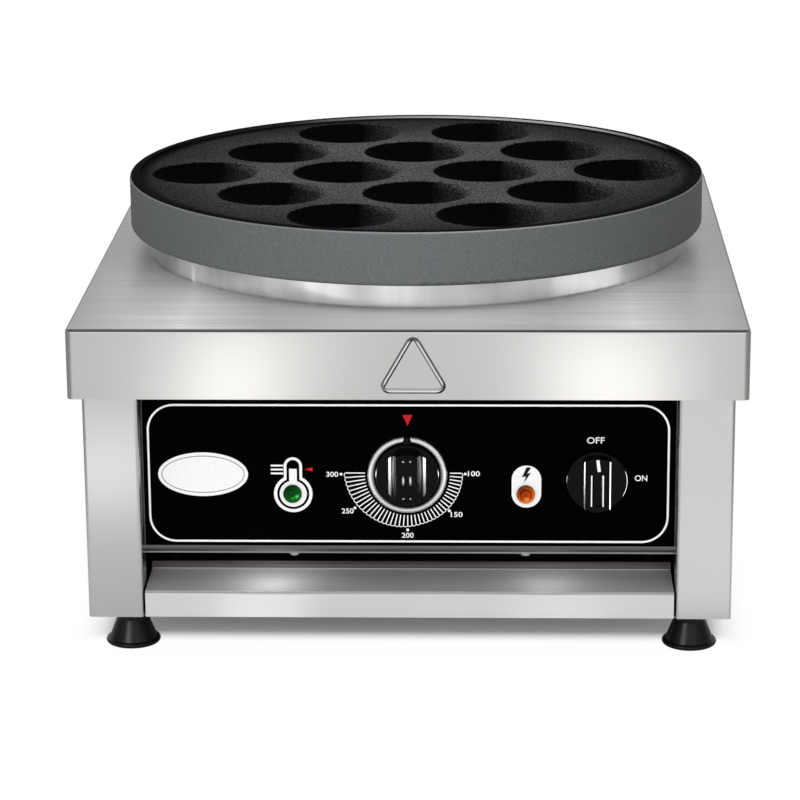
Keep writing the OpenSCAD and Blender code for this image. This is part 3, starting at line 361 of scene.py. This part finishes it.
def ring_material():
    """Ring painted bright at its rim as a highlight and darker towards the knob as shade."""
    t = Tree("silver_ring", 0.26, 1.0)
    r = t.radius(DIAL[0] * MM, DIAL[1] * MM)
    fine = t.noise(500.0, 3.0)
    # Painted highlight on the outer rim, painted shade towards the knob
    base = t.ramp(t.span(r, 0.0, 1.0, 0.0212, 0.026), (0.0, grey(0.06)), (0.35, grey(0.22)),
                  (0.62, grey(0.8)), (1.0, grey(0.95)))
    shade = t.ramp(fine, (0.3, grey(0.92)), (0.7, grey(1.04)))
    t.set("Base Color", t.times(base, shade))
    t.set("Roughness", t.span(fine, 0.22, 0.3))
    return t.mat


def knob_material():
    """Glossy black moulding."""
    t = Tree("knob_black", 0.14, 0.0, 0.14)
    fine = t.noise(1600.0, 2.0)
    broad = t.noise(40.0, 3.0)
    t.set("Base Color", t.ramp(broad, (0.3, grey(0.0006)), (0.7, grey(0.0016))))
    t.set("Roughness", t.span(broad, 0.11, 0.16))
    t.bump(fine, 0.02, 0.0001)
    return t.mat


def lens_material(name, place, rings, low, painted_highlights):
    """Clear coloured moulding: rings from its stepped back, painted shade above, painted light
    below, and painted highlight dots.
    """
    t = Tree(name, 0.1, 0.0, 0.1)
    x, z = place[0] * MM, place[1] * MM
    r = t.span(t.radius(x, z), 0.0, 1.0, 0.0, LENS_R)
    swirl = t.noise(420.0, 3.0)
    base = t.ramp(t.math("ADD", r, t.span(swirl, -0.06, 0.06)), *rings)
    away = t.vector("SUBTRACT", t.object, (x, 0.0, z))
    slant = t.vector("DOT_PRODUCT", away, AWAY_FROM_LIGHT)
    painted_light_fall = t.span(slant, 0.0, 1.0, -LENS_R, LENS_R)
    # Painted shade towards the upper left and painted light towards the lower right, as bright as
    # low
    base = t.times(base, t.ramp(painted_light_fall, (0.15, grey(0.35)), (0.8, grey(low))))
    # Painted highlight dots, each with its place, reach and colour
    for across, up, reach, colour in painted_highlights:
        from_highlight = t.radius(x + across * LENS_R, z + up * LENS_R)
        base = t.mix(t.span(from_highlight, 1.0, 0.0, 0.0002, reach * LENS_R), base, colour)
    t.set("Base Color", base)
    t.bump(swirl, 0.05, 0.0003)
    return t.mat


def print_material(name, colour):
    """Screen-printed ink: slightly uneven, satin."""
    t = Tree(name, 0.45, 0.0, 0.2)
    speck = t.noise(900.0, 2.0)
    low = [c * 0.93 for c in colour[:3]]
    t.set("Base Color", t.ramp(speck, (0.3, (*low, 1)), (0.6, colour)))
    t.bump(speck, 0.05, 0.0001)
    return t.mat


def fibre_material():
    """Pale felted board."""
    t = Tree("fibre_board", 0.95, 0.0, 0.1)
    strand = t.noise(1.0, 6.0, 0.75, (160.0, 420.0, 160.0))
    t.set("Base Color", t.ramp(strand, (0.3, rgb(205, 196, 176)), (0.7, rgb(240, 236, 224))))
    t.bump(strand, 0.6, 0.001)
    return t.mat


def tube_material():
    """Heater sheath, coloured by heat."""
    t = Tree("heater_tube", 0.5, 0.85)
    heat = t.noise(30.0, 4.0)
    t.set("Base Color", t.ramp(heat, (0.3, rgb(70, 62, 58)), (0.55, rgb(112, 104, 98)),
                               (0.75, rgb(96, 92, 110))))
    t.set("Roughness", t.span(heat, 0.4, 0.6))
    t.bump(t.noise(800.0), 0.1, 0.0002)
    return t.mat


WHITE_INK = print_material("white_ink", rgb(255, 255, 255))
RED_INK = print_material("red_ink", rgb(214, 20, 34))
BLACK_INK = print_material("black_ink", rgb(8, 8, 8))
GREY_INK = print_material("grey_ink", rgb(150, 152, 154))

POST = brushed("post_steel", 0.71, 0.24, ALONG_Z, 0.01, 0.04, bump=0.006, gloss=0.01)
PANEL = brushed("panel_steel", 0.2, 0.34, ALONG_X, 0.2, 0.1)
REAR = brushed("rear_steel", 0.56, 0.33, ALONG_Z, 0.08, 0.05)
INNER = brushed("inner_sheet", 0.45, 0.4, ALONG_Y, 0.08, 0.1)
PLATED = brushed("plated_steel", 0.62, 0.26, EVEN, 0.06, 0.08, (1.0, 1.0, 0.99), 0.05)
COPPER = brushed("copper_tube", 0.6, 0.35, (40.0, 400.0, 400.0), 0.1, 0.15, (1.0, 0.6, 0.4))
BRASS = brushed("earth_brass", 0.62, 0.32, (300.0, 300.0, 60.0), 0.1, 0.1, (1.0, 0.78, 0.4))
# Bright metal for the grip's pips and ribs, standing in for their highlights
PIP_HIGHLIGHT_METAL = brushed("pip_highlight_metal", 0.8, 0.3, EVEN, 0.05, 0.05, (1.0, 1.0, 1.0), 0.03)
OVERLAY = moulded("overlay_film", grey(0.0005), 0.4, 0.01, 700.0, 0.03)
BLACK_CASE = moulded("black_case", rgb(36, 36, 37), 0.5, 0.4)
CREAM_CASE = moulded("cream_case", rgb(214, 205, 184), 0.5, 0.4)
CERAMIC = moulded("terminal_ceramic", rgb(232, 226, 208), 0.55, 0.3, 600.0, 0.1, 0.04)
FOOT_BLACK = moulded("foot_black", grey(0.003), 0.26, 0.3, 1200.0, 0.04)

# Rings as share of the radius and colour; painted highlights as place and reach in radii and
# colour
GREEN_RINGS = ((0.0, rgb(2, 72, 10)), (0.55, rgb(4, 86, 14)), (0.82, rgb(10, 104, 26)),
               (1.0, rgb(2, 40, 6)))
AMBER_RINGS = ((0.0, rgb(170, 54, 3)), (0.45, rgb(206, 78, 8)), (0.6, rgb(122, 30, 2)),
               (0.76, rgb(232, 108, 24)), (0.9, rgb(226, 112, 40)), (1.0, rgb(110, 32, 4)))
GREEN_HIGHLIGHTS = ((0.5, -0.2, 0.30, rgb(90, 235, 120)), (0.05, -0.35, 0.22, rgb(50, 180, 70)))
AMBER_HIGHLIGHTS = ((0.1, -0.55, 0.45, rgb(255, 160, 80)),)
GREEN_LENS = lens_material("green_lens", LAMPS[0], GREEN_RINGS, 1.2, GREEN_HIGHLIGHTS)
AMBER_LENS = lens_material("amber_lens", LAMPS[1], AMBER_RINGS, 1.25, AMBER_HIGHLIGHTS)

FRONT_FEET = ["front_left_foot", "front_right_foot"]
REAR_FEET = ["rear_left_foot", "rear_right_foot"]

FINISH = {
    plate_material(): ["baking_plate"],
    collar_material(): ["plate_collar"],
    hood_material(): ["top_hood"],
    POST: ["left_side_panel", "right_side_panel"],
    REAR: ["rear_panel"],
    PANEL: ["control_panel"],
    drawer_material(): ["drawer_front"],
    INNER: ["base_pan", "inner_floor", "front_support_bar", "rear_support_bar",
            "element_clamp_disc", "drawer_tray", "left_drawer_runner", "right_drawer_runner"],
    PLATED: ["collar_rivets", "plate_studs", "stud_spacers", "stud_nuts", "side_screws",
             "rear_screws", "panel_screws", "thermostat_screws", "power_switch_screws",
             "runner_rivets", "foot_bolts", "foot_nuts", "thermostat_shaft",
             "power_switch_shaft"],
    tube_material(): ["outer_heating_element", "inner_heating_element"],
    fibre_material(): ["insulation_pad"],
    OVERLAY: ["panel_overlay"],
    knob_material(): ["thermostat_knob", "power_knob"],
    ring_material(): ["thermostat_knob_ring"],
    GREEN_LENS: ["green_lamp_lens"],
    AMBER_LENS: ["amber_lamp_lens"],
    CREAM_CASE: ["thermostat_body"],
    BLACK_CASE: ["power_switch_body", "green_lamp_holder", "amber_lamp_holder", "cable_gland",
                 "gland_nut"],
    COPPER: ["thermostat_probe"],
    CERAMIC: ["terminal_block"],
    BRASS: ["earth_stud"],
    FOOT_BLACK: FRONT_FEET + REAR_FEET,
}
for mat, names in FINISH.items():
    for name in names:
        slots = cad[name].data.materials
        slots.clear()
        slots.append(mat)


# Printed graphics: thin films on a face that looks towards the user, in millimetres of x and z

FILM_THICK = 0.12
FILM_OFFSET = 0.6
LETTER_WEIGHT = 0.012
CORNER_STEPS = 12
OVAL_STEPS = 72


def arc(cx, cz, r, start, stop, count):
    step = math.radians(stop - start) / count
    first = math.radians(start)
    turns = [first + step * i for i in range(count + 1)]
    return [(cx + r * math.cos(a), cz + r * math.sin(a)) for a in turns]


def rounded(x0, x1, z0, z1, r):
    corners = ((x1 - r, z1 - r), (x0 + r, z1 - r), (x0 + r, z0 + r), (x1 - r, z0 + r))
    return [point for i, corner in enumerate(corners)
            for point in arc(*corner, r, 90 * i, 90 * i + 90, CORNER_STEPS)]


def oval(x, z, a, b):
    turns = [math.tau * i / OVAL_STEPS for i in range(OVAL_STEPS)]
    return [(x + a * math.cos(t), z + b * math.sin(t)) for t in turns]


class Film:
    """Flat faces at one depth, thickened a little when the piece is made."""

    def __init__(self, face_y):
        self.bm = bmesh.new()
        self.y = face_y

    def verts(self, points):
        return [self.bm.verts.new((x * MM, self.y * MM, z * MM)) for x, z in points]

    def fill(self, points):
        made = self.verts(points)
        for tri in tessellate_polygon([[Vector((x, z, 0)) for x, z in points]]):
            self.bm.faces.new([made[i] for i in tri])

    def ring(self, outer, inner):
        a, b = self.verts(outer), self.verts(inner)
        for i in range(len(a)):
            j = (i + 1) % len(a)
            self.bm.faces.new((a[i], a[j], b[j], b[i]))

    def line(self, points, width):
        left, right = [], []
        for i, (x, z) in enumerate(points):
            before, after = points[max(i - 1, 0)], points[min(i + 1, len(points) - 1)]
            d = Vector((after[0] - before[0], after[1] - before[1])).normalized()
            left.append((x - d.y * width / 2, z + d.x * width / 2))
            right.append((x + d.y * width / 2, z - d.x * width / 2))
        a, b = self.verts(left), self.verts(right)
        for i in range(len(a) - 1):
            self.bm.faces.new((a[i], a[i + 1], b[i + 1], b[i]))

    def words(self, text, x0, x1, z0, z1):
        """Letters stretched to fill the box."""
        curve = bpy.data.curves.new("lettering", "FONT")
        curve.body = text
        curve.resolution_u = 4
        curve.offset = LETTER_WEIGHT
        holder = bpy.data.objects.new("lettering", curve)
        scene.collection.objects.link(holder)
        shown = holder.evaluated_get(bpy.context.evaluated_depsgraph_get())
        mesh = bpy.data.meshes.new_from_object(shown)
        xs = [v.co.x for v in mesh.vertices]
        ys = [v.co.y for v in mesh.vertices]
        made = []
        for v in mesh.vertices:
            x = x0 + (x1 - x0) * (v.co.x - min(xs)) / (max(xs) - min(xs))
            z = z0 + (z1 - z0) * (v.co.y - min(ys)) / (max(ys) - min(ys))
            made.append(self.bm.verts.new((x * MM, self.y * MM, z * MM)))
        for f in mesh.polygons:
            self.bm.faces.new([made[i] for i in f.vertices])
        bpy.data.objects.remove(holder)
        bpy.data.curves.remove(curve)
        bpy.data.meshes.remove(mesh)

    def piece(self, name, mat, body):
        bmesh.ops.recalc_face_normals(self.bm, faces=self.bm.faces)
        for f in self.bm.faces:
            if f.normal.y > 0:
                f.normal_flip()
        mesh = bpy.data.meshes.new(name)
        self.bm.to_mesh(mesh)
        self.bm.free()
        mesh.materials.append(mat)
        made = bpy.data.objects.new(name, mesh)
        scene.collection.objects.link(made)
        solid = made.modifiers.new("thick", "SOLIDIFY")
        solid.thickness = FILM_THICK * MM
        solid.offset = FILM_OFFSET
        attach(made, body)


FACE_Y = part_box("panel_overlay")[0].y / MM
OVER_PRINT = 0.1  # lift of a film that lies on another film

BORDER = (-169.6, 168.4, 73.7, 166.4)
BORDER_R = 17.0
BORDER_W = 1.35
PLAQUE = (-134.3, 119.4)
PLAQUE_HALF = (29.4, 14.9)
PLAQUE_LINE = (2.2, 2.8)  # the line's two edges, in from the plaque's edge
BULB = (-75.6, 106.2)
# The thermometer's outlines: half the stem's width, the bulb's radius and the top
STEM_OUTSIDE = (6.0, 12.6, 131.1)
STEM_INSIDE = (4.2, 10.5, 129.3)
STEM_FILL = (2.5, 8.9, 123.2)
LEVEL_Z = (125.4, 122.75, 120.1)
LEVEL_X = (-90.0, -81.9)
LEVEL_W = 1.25
LEVEL_POINTER = [(-68.0, 122.9), (-62.8, 121.5), (-62.8, 124.3)]
DIAL_INDEX = [(-4.0, 159.9), (-0.75, 152.6), (2.5, 159.9)]
TICKS = 40
TICK_W = 0.72
TICK_INNER_R = 27.6
TICK_INNER_RISE = 1.2  # added half way round
TICK_OUTER_R = 40.4
TICK_OUTER_DROP = 5.6  # taken off by 1 / TICK_DROP_RATE of the way round
TICK_DROP_RATE = 1.7
TICK_OUTER_RISE = 0.4  # added at the far end
BOW_W = 0.5
BOW_HIGH = 0.6  # as a share of half its span
BOW_STEPS = 6
# Each number's centre and its dot's centre
NUMBERS = {"300": (-50.0, 119.6, -44.2, 119.7), "250": (-40.2, 94.5, -35.4, 96.6),
           "200": (-1.1, 77.9, -1.1, 81.6), "150": (31.0, 92.3, 26.2, 94.8),
           "100": (42.2, 120.2, 36.6, 120.0)}
NUMBER_HALF = (3.9, 1.75)
NUMBER_DOT_R = 0.95
PILL = (66.8, 86.0, 97.2, 125.8)
PILL_R = 9.5
BOLT = [(76.4, 124.6), (73.4, 117.8), (76.0, 118.5), (74.7, 113.9), (79.2, 120.9),
        (76.8, 120.3), (79.4, 124.6)]
SWITCH_WORDS = {"OFF": (115.4, 126.9, 140.8, 145.1), "ON": (146.7, 154.8, 115.4, 119.4)}


def on_panel(name, mat, draw, lift=0.0):
    film = Film(FACE_Y - lift)
    draw(film)
    film.piece(name, mat, "cabinet")


def border(film):
    x0, x1, z0, z1 = BORDER
    h = BORDER_W / 2
    film.ring(rounded(x0 - h, x1 + h, z0 - h, z1 + h, BORDER_R + h),
              rounded(x0 + h, x1 - h, z0 + h, z1 - h, BORDER_R - h))


def plaque(inset):
    return oval(*PLAQUE, PLAQUE_HALF[0] - inset, PLAQUE_HALF[1] - inset)


def thermometer(half, bulb, top, round_top=True):
    """Outline of a thermometer round the green lamp."""
    cx, cz = BULB
    join = math.degrees(math.acos(half / bulb))
    low = arc(cx, cz, bulb, 180 - join, 360 + join, 40)
    square = [(cx + half, top), (cx - half, top)]
    return low + (arc(cx, top - half, half, 0, 180, 16) if round_top else square)


def thermometer_outline(film):
    film.ring(thermometer(*STEM_OUTSIDE), thermometer(*STEM_INSIDE))


def level_lines(film):
    for z in LEVEL_Z:
        film.line([(x, z) for x in LEVEL_X], LEVEL_W)


def scale(film):
    """Ticks round the lower half of the dial, shorter to the right, joined by small arcs."""
    cx, cz = DIAL
    centre = Vector(DIAL)
    ends = []
    for i in range(TICKS + 1):
        share = i / TICKS
        a = math.pi * (1 + share)
        inner = TICK_INNER_R + TICK_INNER_RISE * math.sin(math.pi * share)
        drop = TICK_OUTER_DROP * min(1.0, share * TICK_DROP_RATE)
        outer = TICK_OUTER_R - drop + TICK_OUTER_RISE * share
        d = Vector((math.cos(a), math.sin(a)))
        film.line([(cx + d.x * r, cz + d.y * r) for r in (inner, outer)], TICK_W)
        ends.append(centre + d * outer)
    for a, b in zip(ends, ends[1:]):
        mid = (a + b) / 2
        out = (mid - centre).normalized()
        half = (b - a) / 2
        turns = [math.pi * k / BOW_STEPS for k in range(BOW_STEPS, -1, -1)]
        bow = [mid + half * math.cos(t) + out * half.length * BOW_HIGH * math.sin(t)
               for t in turns]
        film.line([(p.x, p.y) for p in bow], BOW_W)


def numbers(film):
    w, h = NUMBER_HALF
    for text, (x, z, dot_x, dot_z) in NUMBERS.items():
        film.words(text, x - w, x + w, z - h, z + h)
        film.fill(arc(dot_x, dot_z, NUMBER_DOT_R, 0, 345, 23))


def switch_words(film):
    for text, place in SWITCH_WORDS.items():
        film.words(text, *place)


def filled(points):
    return lambda film: film.fill(points)


on_panel("panel_border_print", WHITE_INK, border)
on_panel("plain_oval_print", WHITE_INK, filled(plaque(0.0)))
on_panel("plain_oval_line_print", GREY_INK,
         lambda film: film.ring(plaque(PLAQUE_LINE[0]), plaque(PLAQUE_LINE[1])), OVER_PRINT)
on_panel("thermometer_outline_print", WHITE_INK, thermometer_outline)
on_panel("thermometer_fill_print", WHITE_INK, filled(thermometer(*STEM_FILL, False)))
on_panel("level_lines_print", WHITE_INK, level_lines)
on_panel("level_pointer_print", RED_INK, filled(LEVEL_POINTER))
on_panel("dial_index_print", RED_INK, filled(DIAL_INDEX))
on_panel("dial_scale_print", WHITE_INK, scale)
on_panel("dial_numbers_print", WHITE_INK, numbers)
on_panel("lamp_pill_print", WHITE_INK, filled(rounded(*PILL, PILL_R)))
on_panel("lamp_bolt_print", BLACK_INK, filled(BOLT), OVER_PRINT)
on_panel("switch_words_print", WHITE_INK, switch_words)


# Marks and painted highlights on the knobs, placed from the knob's centre in millimetres

POWER_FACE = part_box("power_knob")[0].y / MM
MARK_TOP = (0.1, 17.4)
MARK_LOW = (1.1, 9.6)
MARK_W = 2.0
GROOVE_X = 3.75
GROOVE_TOP = 7.0
GROOVE_LOW = -14.0
GROOVE_HIGHLIGHT_W = 0.8

mark = Film(POWER_FACE)
mark.line([(POWER[0] + x, POWER[1] + z) for x, z in (MARK_TOP, MARK_LOW)], MARK_W)
mark.piece("power_pointer_mark", WHITE_INK, "power_dial")
# White films along the groove's sides are painted highlights
groove_highlights = Film(POWER_FACE)
for line_x in (POWER[0] - GROOVE_X, POWER[0] + GROOVE_X):
    groove_highlights.line([(line_x, POWER[1] + z) for z in (GROOVE_TOP, GROOVE_LOW)], GROOVE_HIGHLIGHT_W)
groove_highlights.piece("power_groove_highlights", WHITE_INK, "power_dial")

DIAL_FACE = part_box("thermostat_knob")[0].y / MM
DIAL_RECESS = 0.8
DOME_RINGS = 5
DOME_SIDES = 20
PIP_X = 2.4
PIP_Z = 12.6
PIP_HALF = (0.8, 0.8)
RIB_Z = -0.4
RIB_HALF = (0.75, 3.2)
PIP_HIGH = 0.6


def dome(bm, x, z, base_y, half):
    """Low oval dome that stands on the plane base_y and faces the user."""
    turns = [math.tau * k / DOME_SIDES for k in range(DOME_SIDES)]
    rows = []
    for i in range(DOME_RINGS):
        a = math.pi / 2 * i / DOME_RINGS
        w, h, y = half[0] * math.cos(a), half[1] * math.cos(a), base_y - PIP_HIGH * math.sin(a)
        rows.append([bm.verts.new(((x + w * math.cos(t)) * MM, y * MM, (z + h * math.sin(t)) * MM))
                     for t in turns])
    tip = bm.verts.new((x * MM, (base_y - PIP_HIGH) * MM, z * MM))
    for low, high in zip(rows, rows[1:]):
        for k in range(DOME_SIDES):
            j = (k + 1) % DOME_SIDES
            bm.faces.new((low[k], low[j], high[j], high[k]))
    for k in range(DOME_SIDES):
        bm.faces.new((rows[-1][k], rows[-1][(k + 1) % DOME_SIDES], tip))
    bm.faces.new(list(reversed(rows[0])))


def grip_pips():
    """Four pips and two short ribs in the grip's recess, in a bright metal that stands in for
    their highlights.
    """
    bm = bmesh.new()
    recess_y = DIAL_FACE + DIAL_RECESS
    for side in (-1, 1):
        x = DIAL[0] + side * PIP_X
        for up in (-1, 1):
            dome(bm, x, DIAL[1] + up * PIP_Z, recess_y, PIP_HALF)
        dome(bm, x, DIAL[1] + RIB_Z, recess_y, RIB_HALF)
    bmesh.ops.recalc_face_normals(bm, faces=bm.faces)
    mesh = bpy.data.meshes.new("grip_pips")
    bm.to_mesh(mesh)
    bm.free()
    mesh.materials.append(PIP_HIGHLIGHT_METAL)
    for f in mesh.polygons:
        f.use_smooth = True
    made = bpy.data.objects.new("grip_pips", mesh)
    scene.collection.objects.link(made)
    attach(made, "thermostat_dial")


grip_pips()


# Floor, light and camera

FLOOR_HALF = 14.0
SHADOW_LIFT = 0.11  # white mixed into the darkest shadow
BESIDE_WHITE = 0.98  # white mixed in just outside the shadow
# Start and end of each fade, in metres
SHADOW_BACK = (0.2, 0.27)
SHADOW_FRONT = (-0.174, -0.203)
SHADOW_SIDE = (0.19, 0.23)
FAR_OFF = (0.34, 0.6)
MIRRORED_SIDE = (0.34, 0.75)


def floor_material():
    """White to the eye but for the shadow; reflections see grey, darker to the sides."""
    mat = bpy.data.materials.new("pale_floor")
    mat.use_nodes = True
    n = Nodes(mat.node_tree)
    n.tree.nodes.clear()

    def fade(value, a, b):
        return n.span(value, 0.0, 1.0, a, b, interpolation_type="SMOOTHSTEP")

    def coat(colour):
        return n.add("ShaderNodeBsdfDiffuse", {"Color": colour}).outputs[0]

    path = n.add("ShaderNodeLightPath")
    place = n.add("ShaderNodeTexCoord").outputs["Object"]
    across = n.math("ABSOLUTE", n.axis(place, "X"))
    depth = n.axis(place, "Y")
    behind_or_before = n.math("MAXIMUM", fade(depth, *SHADOW_BACK), fade(depth, *SHADOW_FRONT))
    beside = n.math("MAXIMUM", fade(across, *SHADOW_SIDE), behind_or_before)
    far = fade(n.vector("LENGTH", place), *FAR_OFF)
    white = n.math("MAXIMUM", n.math("MULTIPLY", beside, BESIDE_WHITE), far)
    white = n.math("MAXIMUM", white, SHADOW_LIFT)
    glow = n.add("ShaderNodeEmission", {"Color": grey(1.0), "Strength": 1.0}).outputs[0]
    seen = n.either(white, coat(grey(1.2)), glow)
    darker_aside = n.add("ShaderNodeMix", {0: fade(across, *MIRRORED_SIDE), 6: grey(0.56),
                                           7: grey(0.26)}, data_type="RGBA").outputs[2]
    bounced = n.either(path.outputs["Is Glossy Ray"], coat(grey(0.75)), coat(darker_aside))
    shown = n.either(path.outputs["Is Camera Ray"], bounced, seen)
    n.add("ShaderNodeOutputMaterial", {"Surface": shown})
    return mat


ground = bpy.data.meshes.new("floor")
ground.from_pydata([(-FLOOR_HALF, -FLOOR_HALF, 0), (FLOOR_HALF, -FLOOR_HALF, 0),
                    (FLOOR_HALF, FLOOR_HALF, 0), (-FLOOR_HALF, FLOOR_HALF, 0)], [], [(0, 1, 2, 3)])
ground.materials.append(floor_material())
floor = bpy.data.objects.new("floor", ground)
scene.collection.objects.link(floor)


def studio_world():
    """Soft even light, white to the eye; reflections see a dark band high up and dim sides."""
    world = bpy.data.worlds.new("studio")
    world.use_nodes = True
    n = Nodes(world.node_tree)
    n.tree.nodes.clear()

    def backdrop(colour, strength):
        return n.add("ShaderNodeBackground", {"Color": colour, "Strength": strength}).outputs[0]

    path = n.add("ShaderNodeLightPath")
    way = n.add("ShaderNodeTexCoord").outputs["Generated"]
    sky = n.ramp(n.axis(way, "Z"), (0.0, grey(1.0)), (0.4, grey(0.95)), (0.75, grey(0.06)),
                 (1.0, grey(1.0)))
    aside = n.span(n.math("ABSOLUTE", n.axis(way, "X")), 1.0, 0.3, 0.45, 0.95)
    unseen = n.either(path.outputs["Is Glossy Ray"], backdrop(grey(1.0), 0.55),
                      backdrop(sky, aside))
    seen = n.math("MAXIMUM", path.outputs["Is Camera Ray"], path.outputs["Is Transmission Ray"])
    shown = n.either(seen, unseen, backdrop(grey(1.0), 1.0))
    n.add("ShaderNodeOutputWorld", {"Surface": shown})
    return world


scene.world = studio_world()


def area(name, place, aim, width, height, power):
    light = bpy.data.lights.new(name, "AREA")
    light.shape = "RECTANGLE"
    light.size, light.size_y = width, height
    light.energy = power
    lamp = bpy.data.objects.new(name, light)
    lamp.location = place
    lamp.rotation_euler = (Vector(aim) - Vector(place)).to_track_quat("-Z", "Y").to_euler()
    lamp.visible_camera = False
    scene.collection.objects.link(lamp)
    return lamp


def lit_only(lamp, names):
    """Keeps a lamp to the named pieces, which alone can shade each other from it."""
    if names:
        group = bpy.data.collections.new(lamp.name)
        for name in names:
            group.objects.link(cad[name] if name in cad else bpy.data.objects[name])
        lamp.light_linking.receiver_collection = group
        lamp.light_linking.blocker_collection = group


def lamp_for(name, place, aim, width, height, power, *only):
    """A lamp that lights matt surfaces and shows in no reflection."""
    lamp = area(name, place, aim, width, height, power)
    lamp.visible_glossy = False
    lit_only(lamp, only)


def card(name, place, aim, width, height, level, *only):
    """A bright card that only reflections see, given by its level of white."""
    lamp = area(name, place, aim, width, height, math.pi * width * height * level)
    lamp.visible_diffuse = False
    lit_only(lamp, only)


def floor_card(name, place, width, height, level, only):
    """A card that lies flat and faces up."""
    card(name, place, (place[0], place[1], 1.0), width, height, level, only)


lamp_for("overhead", (0.0, -0.1, 2.3), (0.0, 0.0, 0.2), 2.4, 1.8, 24.0)
lamp_for("front_fill", (0.0, -3.2, 1.9), (0.0, 0.0, 0.15), 2.4, 1.2, 54.0)
lamp_for("plate_fill", (-0.55, -1.5, 0.3), (0.0, 0.0, 0.26), 0.4, 0.2, 9.0, "baking_plate")
lamp_for("hood_fill", (0.0, -1.2, 0.9), (0.0, -0.2, 0.22), 1.2, 0.3, 3.0, "top_hood")
lamp_for("ledge_glow_left", (-0.09, -0.215, 0.075), (-0.09, -0.21, 0.045), 0.015, 0.015, 0.018,
         "drawer_front")
lamp_for("ledge_glow_right", (0.09, -0.215, 0.075), (0.09, -0.21, 0.045), 0.015, 0.015, 0.010,
         "drawer_front")
lamp_for("border_glow", (0.0, -0.245, 0.172), (0.0, -0.215, 0.166), 0.34, 0.008, 0.028,
         "panel_border_print")

card("foot_card", (-0.7, -1.55, 0.5), (0.0, -0.2, 0.015), 0.6, 0.3, 6.0, *FRONT_FEET)
card("dial_card_left", (-0.36, -0.36, 0.02), (-0.012, -0.222, 0.12), 0.26, 0.10, 120.0,
     "thermostat_knob")
card("dial_card_right", (0.36, -0.375, 0.02), (0.014, -0.222, 0.12), 0.26, 0.10, 120.0,
     "thermostat_knob")
card("power_card_left", (-0.26, -0.24, 0.02), (0.122, -0.222, 0.117), 0.12, 0.12, 120.0,
     "power_knob")
card("power_card_right", (0.1725, -0.2205, 0.1), (0.122, -0.2205, 0.1), 0.018, 0.05, 90.0,
     "power_knob")
floor_card("ring_card", (0.0, -0.65, 0.004), 1.2, 0.5, 0.8, "thermostat_knob_ring")
floor_card("skirt_card_left", (-0.165, -0.92, 0.004), 0.1, 0.34, 1.35, "top_hood")
floor_card("skirt_card_right", (0.15, -0.92, 0.004), 0.1, 0.34, 1.35, "top_hood")
floor_card("post_card_left", (-0.25, -0.63, 0.004), 0.1, 0.16, 0.95, "left_side_panel")
floor_card("post_card_right", (0.24, -0.7, 0.004), 0.3, 0.8, 0.25, "right_side_panel")
floor_card("drawer_card", (0.0, -0.36, 0.003), 0.7, 0.2, 0.35, "drawer_front")
floor_card("drawer_card_left", (-0.1, -0.36, 0.003), 0.06, 0.2, 0.35, "drawer_front")
floor_card("drawer_card_right", (0.096, -0.36, 0.003), 0.06, 0.2, 0.2, "drawer_front")
card("collar_card_front", (-0.15, -1.05, 0.01), (0.0, -0.19, 0.24), 0.4, 0.5, 0.45,
     "plate_collar")
card("collar_card_left", (-0.62, -0.9, 0.01), (-0.07, -0.175, 0.24), 0.4, 0.5, 1.0,
     "plate_collar")
card("collar_card_end", (-1.0, 0.2, 0.01), (-0.15, -0.11, 0.24), 0.35, 0.4, 0.3,
     "plate_collar")
card("collar_card_right", (1.0, -0.3, 0.01), (0.1, -0.15, 0.24), 0.6, 0.4, 0.8,
     "plate_collar")

# The camera, as fitted to the photo
EYE = (0.058301, -2.157931, 0.730426)
LOOK_DOWN = 0.28008
LOOK_LEFT = 0.03274
ROLL = -0.00739
LENS_MM = 141.19
SENSOR_MM = 36.0

camera = bpy.data.cameras.new("camera")
camera.sensor_width = SENSOR_MM
camera.lens = LENS_MM
eye = bpy.data.objects.new("camera", camera)
eye.location = EYE
turned = Euler((math.pi / 2 - LOOK_DOWN, 0.0, LOOK_LEFT)).to_matrix()
eye.rotation_euler = (turned @ Matrix.Rotation(ROLL, 3, "Z")).to_euler()
scene.collection.objects.link(eye)
scene.camera = eye
scene.view_settings.view_transform = "Standard"
